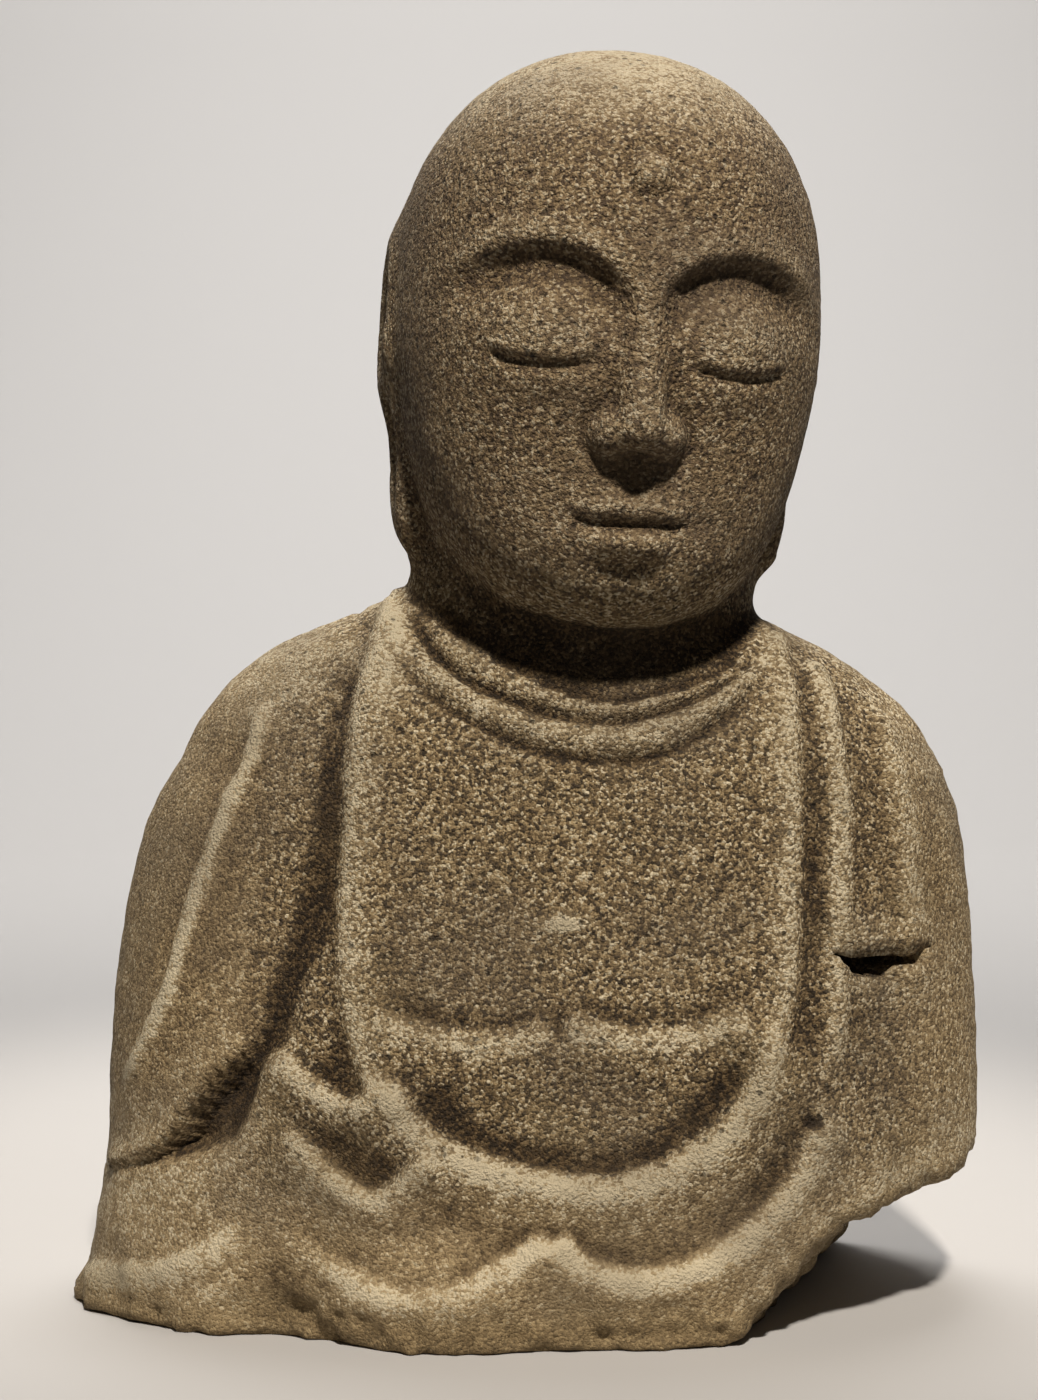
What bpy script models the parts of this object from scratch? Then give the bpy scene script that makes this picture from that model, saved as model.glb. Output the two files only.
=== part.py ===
"""Robed seated figure with a shaven head, carved from one piece of stone and broken off at the lap.

The figure faces -Y and stands on the broken underside at z = 0. Its form is drawn in units of one
millimetre on a figure 308 mm high, and is then brought to the three driving sizes below.
"""

import math

import bmesh
import bpy
import numpy as np

# Driving sizes of the stone, in metres
FIGURE_HEIGHT = 0.308
FIGURE_WIDTH = 0.2255
FIGURE_DEPTH = 0.138

# Stone
STONE_COLOUR = (0.168, 0.132, 0.076, 1.0)
STONE_ROUGHNESS = 0.93

# Fineness of the surface before and after its flat stretches are thinned out
COLUMNS = 240
HEAD_RINGS = 92
BODY_RINGS = 108
FRONT_CROWDING = 0.45
MOST_TRIANGLES = 9600

# A fold's side narrower than this, in mm, is rolled under like a hem
HEM_WIDTH = 4.5

# Robed body: height, then the left, right, front and back reach at that height
SECTIONS = (
    (0, -115, 106, -70, 62),
    (15, -112.5, 108, -69, 63.5),
    (38, -109.5, 109.5, -65, 64),
    (70, -108.5, 109.6, -59, 64),
    (101, -104.5, 108, -51, 62),
    (120, -98.8, 105.2, -46.5, 60),
    (134, -91, 99, -42.5, 57),
    (145, -85, 91, -37.5, 53),
    (156, -74, 77.5, -30, 47),
    (163, -61.5, 65, -23, 42),
    (169, -46, 52, -14, 37),
    (176, -31, 38, -3, 31),
    (183, -13, 24, 8, 20),
)
SHOULDER_TOP = 183.0
BODY_ROUNDNESS = 2.25
BODY_CORE = np.array((5.0, 4.0, 100.0))

# Neck and head: the head is turned, tipped forward and leant to the side, in degrees
NECK_CENTRE = np.array((9.5, 3.0))
NECK_RADII = np.array((43.0, 37.0))
NECK_SHOWS = 3.0
HEAD_CENTRE = np.array((15.5, -6.0, 236.0))
HEAD_TURN = 8.0
HEAD_NOD = 4.5
HEAD_LEAN = 3.5

# Underside of the lost corner: distance to the right of its start, then its height
LOST_CORNER = ((40, -8), (48, 0), (55, 8), (62, 17), (70, 24), (82, 29), (95, 33.5), (125, 41))


def ease(value, low, high):
    """Rise smoothly from 0 at low to 1 at high."""
    share = np.clip((value - low) / (high - low), 0.0, 1.0)
    return share * share * (3.0 - 2.0 * share)


def swell(offset, width):
    """Bell curve, 1 on the middle line."""
    return np.exp(-(offset / width) ** 2)


def join(first, second, width):
    """Two forms as one, with a fillet of the given width."""
    share = np.clip(0.5 + 0.5 * (second - first) / width, 0.0, 1.0)
    return second + (first - second) * share - width * share * (1.0 - share)


def carve(form, hollow, width):
    """A form less a hollow, with its edge eased by the given width."""
    return -join(-form, hollow, width)


def smooth_curve(points, count):
    """Smooth curve through the points."""
    points = np.asarray(points, float)
    ends = np.vstack([2 * points[0] - points[1], points, 2 * points[-1] - points[-2]])
    place = np.linspace(0.0, len(points) - 1.0, count)
    first = np.minimum(place.astype(int), len(points) - 2)
    share = (place - first)[:, None]
    before, start, end, after = (ends[first + step] for step in range(4))
    slope = end - before
    bend = 2 * before - 5 * start + 4 * end - after
    twist = 3 * (start - end) + after - before
    return start + 0.5 * share * (slope + share * (bend + share * twist))


def round_form(x, y, z, centre, radii, power=2.0):
    """Ellipsoid, squarer with a higher power."""
    total = 0.0
    for value, middle, radius in zip((x, y, z), centre, radii):
        total = total + (np.abs(value - middle) / radius) ** power
    return (total ** (1.0 / power) - 1.0) * min(radii)


def tapered_bar(x, y, z, start, end, first_radius, last_radius):
    """Round bar between two points."""
    start, end = np.array(start, float), np.array(end, float)
    span = end - start
    reach = (x - start[0]) * span[0] + (y - start[1]) * span[1] + (z - start[2]) * span[2]
    share = np.clip(reach / (span @ span), 0.0, 1.0)
    across = (x - start[0] - share * span[0]) ** 2 + (y - start[1] - share * span[1]) ** 2
    gap = np.sqrt(across + (z - start[2] - share * span[2]) ** 2)
    return gap - (first_radius + (last_radius - first_radius) * share)


SECTION_CURVE = smooth_curve(SECTIONS, 400)
LOST_CORNER_CURVE = smooth_curve(LOST_CORNER, 60)


def section(height):
    """Middle and half width across, middle and half width in depth, of the body at a height."""
    left, right, front, back = (
        np.interp(height, SECTION_CURVE[:, 0], SECTION_CURVE[:, side]) for side in range(1, 5)
    )
    return (left + right) / 2, (right - left) / 2, (front + back) / 2, (back - front) / 2


def body_depth(x, z, facing):
    """Depth of the plain body's front (facing -1) or back (facing 1)."""
    middle, half_width, deep_middle, half_depth = section(z)
    across = np.clip(np.abs(x - middle) / half_width, 0.0, 0.985)
    reach = half_depth * (1.0 - across ** BODY_ROUNDNESS) ** (1.0 / BODY_ROUNDNESS)
    return deep_middle + facing * reach


def body_form(x, y, z):
    """Robed shoulders, chest and lap, with the uneven broken hem along the bottom front."""
    middle, half_width, deep_middle, half_depth = section(z)
    hem = ease(-z, -34.0, -4.0) * (y < 0)
    y = y + hem * (3.5 * swell(x + 22.0, 17.0) - 6.5 * swell(x + 60.0, 15.0))
    across = (np.abs(x - middle) / half_width) ** BODY_ROUNDNESS
    deep = (np.abs(y - deep_middle) / half_depth) ** BODY_ROUNDNESS
    radius = (across + deep) ** (1.0 / BODY_ROUNDNESS)
    return np.maximum((radius - 1.0) * half_depth, z - SHOULDER_TOP)


def neck_form(x, y, z):
    """Short neck that widens into the collar."""
    flare = 1.0 + 0.00012 * (np.minimum(z, 168.0) - 168.0) ** 2
    across = (x - NECK_CENTRE[0] - 0.04 * (z - 160.0)) / NECK_RADII[0]
    deep = (y - NECK_CENTRE[1]) / NECK_RADII[1]
    radius = np.sqrt(across ** 2 + deep ** 2) / flare
    return np.maximum((radius - 1.0) * NECK_RADII[1], np.maximum(z - 198.0, 130.0 - z))


def head_axes():
    """Directions of the head's own width, depth and height."""
    turn, nod, lean = np.radians((HEAD_TURN, HEAD_NOD, HEAD_LEAN))
    turned = np.array(
        [[np.cos(turn), -np.sin(turn), 0], [np.sin(turn), np.cos(turn), 0], [0, 0, 1]]
    )
    nodded = np.array([[1, 0, 0], [0, np.cos(nod), -np.sin(nod)], [0, np.sin(nod), np.cos(nod)]])
    leant = np.array(
        [[np.cos(lean), 0, np.sin(lean)], [0, 1, 0], [-np.sin(lean), 0, np.cos(lean)]]
    )
    return turned @ nodded @ leant


HEAD_AXES = head_axes()


def in_head(x, y, z):
    """Coordinates from the head's centre, along its own axes."""
    offset = np.stack([x, y, z], axis=-1) - HEAD_CENTRE
    return np.moveaxis(offset @ HEAD_AXES, -1, 0)


def nose_form(side, y, z):
    """Straight bridge, rounded wings and a flat underside."""
    bridge = tapered_bar(side, y, z, (0, -51, 17), (0, -59.5, -20.5), 3.8, 5.4)
    wings = round_form(side, y, z, (6.0, -54.5, -22.5), (4.6, 6.4, 5.2))
    return -join(-join(bridge, wings, 3.0), z + 27.6 + 0.2 * (y + 56.0), 2.0)


def ear_form(side, y, z):
    """Flat ear with a hollow, and a long lobe with a slit."""
    y = y - 0.12 * (z + 10.0)
    shell = round_form(side, y, z, (47.5, 11.0, 2.0), (9.0, 15.5, 27.0), 2.3)
    lobe = round_form(side, y, z, (43.5, 8.5, -34.0), (7.5, 9.0, 21.0), 2.3)
    hollow = round_form(side, y, z, (58.5, 11.0, 3.0), (8.0, 9.5, 17.5))
    slit = round_form(side, y, z, (53.0, 7.0, -31.0), (5.0, 2.5, 13.0))
    front_flap = round_form(side, y, z, (50.0, 0.0, -4.0), (4.5, 3.5, 6.0))
    return join(carve(carve(join(shell, lobe, 5.0), hollow, 2.5), slit, 2.5), front_flap, 3.0)


def head_form(x, y, z):
    """Shaven skull, full jaw, chin, nose and ears."""
    x, y, z = in_head(x, y, z)
    skull = round_form(x, y, z, (0, 6, 13), (53, 60, 58.5), 2.12)
    jaw = round_form(x, y, z, (0, -5, -20), (47, 49, 49), 2.4)
    chin = round_form(x, y, z, (0, -33, -49), (24, 20, 17))
    side = np.abs(x)
    head = join(join(join(skull, jaw, 16.0), chin, 16.0), nose_form(side, y, z), 3.5)
    return join(head, ear_form(side, y, z), 2.5)


def lost_corner_form(x, y, z):
    """What has broken away under the right knee; the break runs back and to the right."""
    place = x - 0.32 * (y + 50.0)
    return 0.85 * (z - np.interp(place, LOST_CORNER_CURVE[:, 0], LOST_CORNER_CURVE[:, 1]))


def flap_notch_form(x, y, z):
    """Three-cornered notch cut under the foot of the shoulder flap."""
    top = z - 88.4
    left = 0.69 * (71.6 - x) + 0.72 * (85.4 - z)
    under = 0.36 * (x - 75.7) + 0.93 * (82.0 - z)
    sides = np.maximum(np.maximum(top, left), np.maximum(under, x - 83.0))
    return np.maximum(sides, np.maximum(y, -7.5 - body_form(x, y, z)))


def stone_form(points):
    """The whole stone: below 0 inside, above 0 outside."""
    x, y, z = points[..., 0], points[..., 1], points[..., 2]
    stone = join(body_form(x, y, z), neck_form(x, y, z), 5.0)
    stone = join(stone, head_form(x, y, z), 4.0)
    stone = carve(stone, flap_notch_form(x, y, z), 1.0)
    stone = join(stone, round_form(x, y, z, (-105, -18, 0), (9.5, 15, 6)), 5.0)
    stone = carve(stone, lost_corner_form(x, y, z), 4.0)
    return -join(-stone, z, 2.5)


def surface_points(origins, aims, reach=150.0, step=2.5):
    """Where straight lines from inside the stone first come out of it."""
    inside = np.zeros(len(origins))
    outside = np.full(len(origins), reach)
    waiting = np.arange(len(origins))
    for distance in np.arange(step, reach + step, step):
        sample = origins[waiting] + aims[waiting] * distance
        out = stone_form(sample) > 0.0
        outside[waiting[out]] = distance
        inside[waiting[~out]] = distance
        waiting = waiting[~out]
        if not len(waiting):
            break
    for _ in range(11):
        middle = (inside + outside) / 2
        within = stone_form(origins + aims * middle[:, None]) < 0.0
        inside = np.where(within, middle, inside)
        outside = np.where(within, outside, middle)
    return origins + aims * ((inside + outside) / 2)[:, None]


def aim(azimuth, rise):
    """Direction turned from the front towards the right, and raised."""
    level = np.cos(rise)
    return np.stack([level * np.sin(azimuth), -level * np.cos(azimuth), np.sin(rise)], axis=-1)


def azimuths(count):
    """Angles once around the figure, closer together at the front."""
    turn = 2.0 * np.pi * np.arange(count) / count
    return turn - FRONT_CROWDING * np.sin(turn)


def neckline(azimuth):
    """Ring on the neck just above the shoulders."""
    x = NECK_CENTRE[0] + NECK_RADII[0] * np.sin(azimuth)
    y = NECK_CENTRE[1] - NECK_RADII[1] * np.cos(azimuth)
    low, high = np.full_like(x, 100.0), np.full_like(x, SHOULDER_TOP)
    for _ in range(20):
        middle = (low + high) / 2
        within = body_form(x, y, middle) < 0.0
        low, high = np.where(within, middle, low), np.where(within, high, middle)
    start = np.stack([np.full_like(x, 11.0), np.full_like(x, 3.0), low + NECK_SHOWS], axis=-1)
    return surface_points(start, aim(azimuth, np.zeros_like(azimuth)), 80.0, 2.0)


def angles_to(ring, centre):
    """Azimuth and rise of the ring's points, seen from the centre."""
    offset = ring - centre
    level = np.hypot(offset[:, 0], offset[:, 1])
    return np.arctan2(offset[:, 0], -offset[:, 1]), np.arctan2(offset[:, 2], level)


def drift(end, start):
    """Smallest turn from start to end."""
    return (end - start + np.pi) % (2.0 * np.pi) - np.pi


def head_lines(share, azimuth, neck):
    """Lines from the head's centre, from the crown (0) down to the neckline (1)."""
    neck_azimuth, neck_rise = angles_to(neck, HEAD_CENTRE)
    turned = azimuth + drift(neck_azimuth, azimuth) * share ** 2
    rise = np.pi / 2 + (neck_rise - np.pi / 2) * share
    return np.broadcast_to(HEAD_CENTRE, neck.shape), aim(turned, rise)


def body_lines(share, azimuth, neck):
    """Lines from the body's core: neckline (0), shoulders (1), foot of the sides (2), underside (3)."""
    neck_azimuth, neck_rise = angles_to(neck, BODY_CORE)
    level_azimuth = np.arctan2(1.3 * np.sin(azimuth), np.cos(azimuth))
    fan = min(share, 1.0)
    drop = np.clip(share - 1.0, 0.0, 1.0)
    under = np.clip(share - 2.0, 0.0, 1.0)
    turned = level_azimuth + drift(neck_azimuth, level_azimuth) * (1.0 - fan) ** 2
    rise = neck_rise * (1.0 - fan) - under * np.pi / 2
    start = BODY_CORE - np.array((3.0, 0.0, 75.0)) * drop - np.array((20.0, -5.0, 0.0)) * under
    return np.broadcast_to(start, neck.shape), aim(turned, rise)


def rings_at(shares, lines, azimuth, neck):
    """Rings of surface points, one for each share."""
    origins, aims = zip(*(lines(share, azimuth, neck) for share in shares))
    hits = surface_points(np.concatenate(origins), np.concatenate(aims))
    return hits.reshape(len(shares), len(azimuth), 3)


def even_shares(lines, last, count, crowding):
    """Shares from 0 to last whose rings are evenly spaced, or closer where crowding is higher."""
    azimuth = azimuths(36)
    rough = np.linspace(0.0, last, 160)
    rings = rings_at(rough, lines, azimuth, neckline(azimuth))
    gaps = np.linalg.norm(np.diff(rings, axis=0), axis=2).mean(axis=1) * crowding(rough[1:])
    reached = np.concatenate([[0.0], np.cumsum(gaps)])
    return np.interp(np.linspace(0.0, reached[-1], count + 2), reached, rough)[1:-1]


def head_crowding(share):
    """Fewer rings over the crown."""
    return 0.5 + 0.5 * ease(share, 0.1, 0.3)


def body_crowding(share):
    """Fewer rings under the stone."""
    return 1.0 - 0.75 * ease(share, 2.2, 2.6)


def stone_rings():
    """All rings from the crown to the underside, with the two points that close them."""
    azimuth = azimuths(COLUMNS)
    neck = neckline(azimuth)
    head_shares = even_shares(head_lines, 1.0, HEAD_RINGS, head_crowding)
    body_shares = even_shares(body_lines, 3.0, BODY_RINGS - 2, body_crowding)
    head = rings_at(head_shares, head_lines, azimuth, neck)
    body = rings_at(body_shares, body_lines, azimuth, neck)
    crown = surface_points(HEAD_CENTRE[None], aim(np.zeros(1), np.full(1, np.pi / 2)))
    base = surface_points(*body_lines(3.0, azimuth[:1], neck[:1]))
    return np.concatenate([head, neck[None], body]), crown, base


def outward(rings):
    """Unit normals of the rings' surface."""
    around = np.roll(rings, -1, axis=1) - np.roll(rings, 1, axis=1)
    normal = np.cross(np.gradient(rings, axis=0), around)
    return normal / np.linalg.norm(normal, axis=2, keepdims=True)


def on_body(outline, facing=-1, count=28):
    """Smooth line over the body's front or back through points given across and up."""
    flat = smooth_curve(outline, count)
    depth = body_depth(flat[:, 0], flat[:, 1], facing)
    return np.stack([flat[:, 0], depth, flat[:, 1]], axis=-1)


def along(points, line):
    """Distance to a line, the side of it (+ is the left of its run) and the share of its run."""
    nearest = np.full(len(points), np.inf)
    side = np.zeros(len(points))
    share = np.zeros(len(points))
    for step, (start, end) in enumerate(zip(line[:-1], line[1:])):
        span = end - start
        offset = points - start
        place = np.clip(offset @ span / (span @ span), 0.0, 1.0)
        gap = np.linalg.norm(offset - place[:, None] * span, axis=1)
        near = gap < nearest
        nearest = np.where(near, gap, nearest)
        side = np.where(near, np.sign(span[0] * offset[:, 2] - span[2] * offset[:, 0]), side)
        share = np.where(near, (step + place) / (len(line) - 1), share)
    return nearest, side, share


def fold(points, rise, left, right, fades, outline, facing=-1):
    """Raised line, faded at its ends: a narrow side is rolled under like a hem, a wide side dies away."""
    line = on_body(outline, facing)
    near = np.all((points > line.min(axis=0) - 45.0) & (points < line.max(axis=0) + 45.0), axis=1)
    gap, side, share = along(points[near], line)
    width = np.where(side > 0, left, right)
    rolled = np.clip(1.0 - (gap / (1.75 * width)) ** 2, 0.0, 1.0)
    height = rise * np.where(width < HEM_WIDTH, rolled, swell(gap, width))
    start, end = fades
    if start:
        height = height * ease(share, 0.0, start)
    if end:
        height = height * ease(1.0 - share, 0.0, end)
    relief = np.zeros(len(points))
    relief[near] = height
    return relief


def collar_line(front, back):
    """Ring round the neck: over the front of the body, then back across its rear."""
    return np.concatenate([on_body(front, -1, 24), on_body(back, 1, 14)])


def rolled_band(points, inner, outer):
    """1 on the middle of the band between two lines, falling to 0 at each as 4 t (1 - t)."""
    from_inner, inner_side, _ = along(points, inner)
    from_outer, outer_side, _ = along(points, outer)
    share = from_inner / (from_inner + from_outer)
    between = ease(-inner_side * from_inner, -0.3, 0.3) * ease(outer_side * from_outer, -0.3, 0.3)
    return 4.0 * share * (1.0 - share) * between, from_inner, from_outer


def collar_relief(points):
    """Two rolled bands around the neck, each edged by a groove, under a crease at the neck."""
    rim = collar_line(
        (
            (-33.4, 174), (-29, 168), (-18, 161), (-6, 154), (4, 149.5), (15, 147), (24, 148),
            (37, 151.5), (45.5, 155.5), (53, 165),
        ),
        ((53, 165), (45, 167), (30, 166), (9.5, 166), (-12, 168), (-25, 171), (-33.4, 174)),
    )
    first = collar_line(
        (
            (-37, 171), (-32, 165), (-26.5, 158.5), (-18, 152), (-12.5, 149.5), (-0.5, 145), (14, 142.5),
            (25, 144), (34, 147), (41, 150), (50, 156), (57, 163),
        ),
        ((57, 163), (46, 162), (30, 162), (9, 162), (-12, 164), (-26, 167), (-37, 171)),
    )
    second = collar_line(
        (
            (-43, 166), (-35, 156), (-26, 148.5), (-18.5, 144), (-6, 138), (3, 135.5), (17, 134),
            (30, 136), (43, 143.5), (51, 150), (60, 158),
        ),
        ((60, 158), (46, 156), (30, 156), (9, 156), (-14, 158), (-30, 161), (-43, 166)),
    )
    relief = np.zeros(len(points))
    near = (points[:, 2] > 128.0) & (points[:, 2] < 184.0)
    upper, from_rim, from_first = rolled_band(points[near], rim, first)
    lower, _, from_second = rolled_band(points[near], first, second)
    side_calm = 1.0 - 0.7 * ease(np.abs(points[near, 0] - 10.0), 34.0, 44.0)
    bands = 1.7 * upper + 2.1 * lower
    grooves = 0.7 * swell(from_rim, 1.5) + 1.3 * swell(from_first, 1.5) + 1.0 * swell(from_second, 1.6)
    relief[near] = (bands - grooves) * side_calm
    return relief


def bib_relief(points):
    """Border of the hanging front cloth, down the left, round the bottom and up the right."""
    left = (
        (-37, 171), (-40, 160), (-43, 148), (-44.5, 134), (-45, 116), (-46, 96), (-45, 80),
        (-42, 68), (-38, 60), (-31, 51),
    )
    bottom = (
        (-36, 56), (-31, 49), (-23, 43.5), (-13, 39.5), (-2, 37), (8, 35.5), (19, 36), (30, 39.5),
        (40, 46), (48, 54), (53.5, 64), (56, 76),
    )
    right = ((57, 162), (58.5, 148), (58.5, 128), (58, 108), (57, 90), (56, 78), (52, 66), (46, 56))
    relief = fold(points, 2.6, 8.0, 2.4, (0.0, 0.05), left)
    relief += fold(points, 4.2, 3.0, 9.0, (0.0, 0.15), bottom)
    return relief + fold(points, 2.6, 2.6, 8.0, (0.0, 0.15), right)


def belly_relief(points):
    """Two shallow scallops of cloth across the belly, meeting in a point."""
    left = ((-41, 73.5), (-33, 71), (-24, 69), (-14, 68), (-5, 69), (3.5, 73))
    right = ((3.5, 73), (8, 71.5), (16, 69.5), (26, 68.5), (36, 70), (44, 73), (49, 76))
    relief = fold(points, 2.1, 2.8, 8.0, (0.12, 0.12), left)
    return relief + fold(points, 2.1, 2.8, 8.0, (0.12, 0.15), right)


def lap_relief(points):
    """Hanging folds over the lap, each a scallop with a crisp upper edge."""
    upper = ((-64, 67), (-59, 61), (-53, 57), (-47, 54), (-42, 54), (-37, 57))
    middle = ((-63, 49), (-56, 43.5), (-49, 37.5), (-41, 33), (-35, 34.5), (-29, 40), (-24, 43))
    lower = (
        (-68, 29), (-58, 22), (-48, 16.5), (-39, 12.5), (-29, 11), (-20, 13), (-11, 17), (-4, 21.5),
        (2, 27),
    )
    right = (
        (2, 27), (5, 22), (11, 17.5), (22, 15.5), (34, 17.5), (43, 22), (51, 28), (59, 36),
        (64, 46), (66.5, 56),
    )
    knee = ((-110, 8.5), (-100, 11), (-92, 13), (-84, 17), (-76, 22), (-70, 28))
    relief = fold(points, 3.2, 2.1, 6.0, (0.12, 0.15), upper)
    relief += fold(points, 3.6, 2.1, 6.5, (0.15, 0.1), middle)
    relief += fold(points, 2.7, 2.3, 8.5, (0.3, 0.08), lower)
    relief += fold(points, 2.8, 2.3, 7.5, (0.08, 0.1), right)
    return relief + fold(points, 1.8, 1.6, 3.5, (0.0, 0.3), knee)


def right_shoulder_relief(points):
    """Narrow fold beside the bib and the flap that hangs over the right arm."""
    ridge = (
        (66, 157), (69, 151), (70, 142), (71, 132), (71.5, 121), (71, 110), (70.5, 95), (70, 80),
        (69, 66), (66, 54),
    )
    flap_edge = ((81, 147), (82.5, 138), (83.5, 130), (84.7, 120), (85.3, 109), (86, 98), (86.4, 89))
    flap_foot = ((86.2, 88.6), (82, 89), (77, 88.3), (71, 86.5))
    relief = fold(points, 2.1, 1.9, 2.4, (0.05, 0.1), ridge)
    relief += fold(points, 2.6, 8.0, 0.9, (0.12, 0.0), flap_edge)
    relief += fold(points, 2.4, 0.9, 8.0, (0.3, 0.2), flap_foot)
    gap, _, share = along(points, on_body(((78, 78), (80, 66), (83, 54), (88, 42))))
    return relief - 1.0 * swell(gap, 9.0) * ease(share, 0.0, 0.15)


def left_sleeve_relief(points):
    """Seam down the left sleeve, valley beside the chest and the hollow under the sleeve's hem."""
    seam = ((-68, 150), (-70, 136), (-76, 122), (-81, 107), (-85, 96), (-90, 78), (-97, 64), (-104, 51))
    valley = on_body(((-46, 163), (-50, 148), (-51, 131), (-53, 112), (-57, 94), (-62, 80), (-65, 70)))
    hem = on_body(((-62, 78), (-71, 67), (-78, 59), (-84, 51.5), (-89, 44.5), (-95.5, 39), (-106, 34)))
    lap = on_body(((-108, 32.5), (-92, 37), (-76, 42), (-70, 48), (-66.5, 57), (-63, 68), (-60, 80)))
    relief = fold(points, 1.7, 1.4, 2.0, (0.1, 0.1), seam)
    gap, side, share = along(points, valley)
    depth = (1.5 + 1.6 * ease(share, 0.4, 1.0)) * ease(share, 0.0, 0.12)
    relief -= depth * swell(gap, np.where(side > 0, 6.0, 9.0))
    hem_gap, hem_side, share = along(points, hem)
    lap_gap, lap_side, _ = along(points, lap)
    under = ease(hem_gap * hem_side, -0.4, 2.0) * ease(lap_gap * lap_side, -1.0, 5.5)
    depth = 7.5 * ease(share, 0.0, 0.35) * (1.0 - 0.45 * ease(share, 0.7, 1.0))
    relief -= depth * under * swell(hem_gap, 17.0)
    return relief + 1.3 * swell(hem_gap, 4.0) * (hem_side < 0) * ease(share, 0.0, 0.3)


def back_relief(points):
    """Broad shallow folds that fall across the back from the left shoulder."""
    outlines = (
        ((-64, 148), (-42, 120), (0, 98), (45, 88), (90, 86)),
        ((-86, 118), (-52, 86), (-5, 66), (45, 57), (96, 56)),
        ((-98, 82), (-62, 53), (-12, 35), (40, 28), (84, 29)),
    )
    return sum(fold(points, 2.2, 2.8, 12.0, (0.15, 0.2), outline, facing=1) for outline in outlines)


def eye_relief(side, z):
    """Arched brows that run down into the nose, over closed, gently rounded lids."""
    brow = 20.5 - 0.020 * (side - 24.0) ** 2
    below = brow - z
    span = ease(side, 1.0, 11.0) * ease(49.0 - side, 0.0, 15.0)
    ridge = 0.9 * swell(below + 2.0, 4.5) * span
    socket = 4.2 * ease(below, -1.4, 4.2) * swell(np.maximum(below - 4.2, 0.0), 7.0) * span
    inner = 1.4 * swell(side - 11.0, 5.5) * swell(z - 4.0, 10.0)
    lid = 3.0 * swell(side - 22.5, 12.5) * swell(z + 1.5, 8.5)
    lash = z + 8.0 - 2.6 * ((side - 22.5) / 12.5) ** 2
    eye_span = ease(13.5 - np.abs(side - 22.5), 0.0, 4.5)
    closed = 1.3 * swell(lash, 1.25) * eye_span
    lid_edge = 0.6 * swell(lash - 2.4, 1.6) * eye_span
    lower_lid = 1.0 * swell(z + 12.0, 3.6) * swell(side - 22.5, 11.0)
    return ridge + lid + lid_edge + lower_lid - socket - inner - closed


def mouth_relief(side, z):
    """Small closed mouth under a short groove, over a rounded chin."""
    bow = z + 39.6 - 0.5 * swell(side - 4.5, 3.0) + 0.10 * np.maximum(side - 5.0, 0.0)
    upper = 1.9 * swell(bow, 2.5) * ease(15.5 - side, 0.0, 9.0)
    lower = 2.3 * swell(z + 47.2, 3.2) * ease(13.0 - side, 0.0, 10.0)
    closed = 1.9 * swell(z + 43.4 - 0.006 * side ** 2, 1.3) * ease(16.5 - side, 0.0, 5.0)
    corner = 0.8 * swell(np.hypot(side - 16.2, z + 42.2), 2.6)
    groove = 0.9 * swell(z + 34.0, 3.4) * swell(side, 2.3)
    under = 1.4 * swell(z + 53.5, 2.8) * swell(side, 10.0)
    return upper + lower - closed - corner - groove - under


def face_relief(points):
    """Eyes, mouth, cheeks, nostril creases and the round mark between the brows."""
    x, y, z = in_head(*points.T)
    side = np.abs(x)
    cheek = 1.0 * swell(side - 25.0, 18.0) * swell(z + 26.0, 20.0)
    crease = 1.0 * swell(np.hypot(side - 5.5, z + 22.5) - 7.4, 1.3) * ease(side, 8.0, 11.0)
    mark = np.hypot(side, z - 38.0)
    boss = 1.8 * ease(5.2 - mark, 0.0, 3.2) - 0.9 * swell(mark - 6.4, 1.6)
    shown = ease(-y, 8.0, 30.0)
    return (eye_relief(side, z) + mouth_relief(side, z) + cheek + boss - crease) * shown


def carved_rings():
    """The stone's rings with the cloth and the face carved into them."""
    rings, crown, base = stone_rings()
    flat = rings.reshape(-1, 3)
    relief = collar_relief(flat) + bib_relief(flat) + belly_relief(flat) + lap_relief(flat)
    relief += right_shoulder_relief(flat) + left_sleeve_relief(flat)
    relief += back_relief(flat) + face_relief(flat)
    relief *= ease(flat[:, 2], 0.0, 5.0) * ease(flap_notch_form(*flat.T), 0.2, 1.6)
    carved = flat + relief[:, None] * outward(rings).reshape(-1, 3)
    carved[:, 2] = np.maximum(carved[:, 2], 0.0)
    base[:, 2] = 0.0
    return carved.reshape(rings.shape), crown[0], base[0]


def fit_to_sizes(points):
    """Bring the drawn form to the driving sizes; the foot stays at z = 0."""
    extent = points.max(axis=0) - points.min(axis=0)
    return points * (np.array((FIGURE_WIDTH, FIGURE_DEPTH, FIGURE_HEIGHT)) / extent)


def shape_sphere(bm):
    """Move each vertex of a unit sphere to its place on the figure."""
    rings, crown, base = carved_rings()
    last = len(rings)
    places = np.empty((len(bm.verts), 3))
    for number, vertex in enumerate(bm.verts):
        direction = vertex.co.normalized()
        ring = round((0.5 - math.asin(max(-1.0, min(1.0, direction.z))) / math.pi) * (last + 1))
        column = round(math.atan2(direction.x, -direction.y) / (2.0 * math.pi) * COLUMNS) % COLUMNS
        if ring == 0:
            places[number] = crown
        elif ring > last:
            places[number] = base
        else:
            places[number] = rings[ring - 1, column]
    for vertex, place in zip(bm.verts, fit_to_sizes(places)):
        vertex.co = place


def stone_material():
    """Dull brown stone."""
    material = bpy.data.materials.new("stone")
    material.use_nodes = True
    shader = material.node_tree.nodes["Principled BSDF"]
    shader.inputs["Base Color"].default_value = STONE_COLOUR
    shader.inputs["Roughness"].default_value = STONE_ROUGHNESS
    shader.inputs["Metallic"].default_value = 0.0
    material.diffuse_color = STONE_COLOUR
    return material


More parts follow.
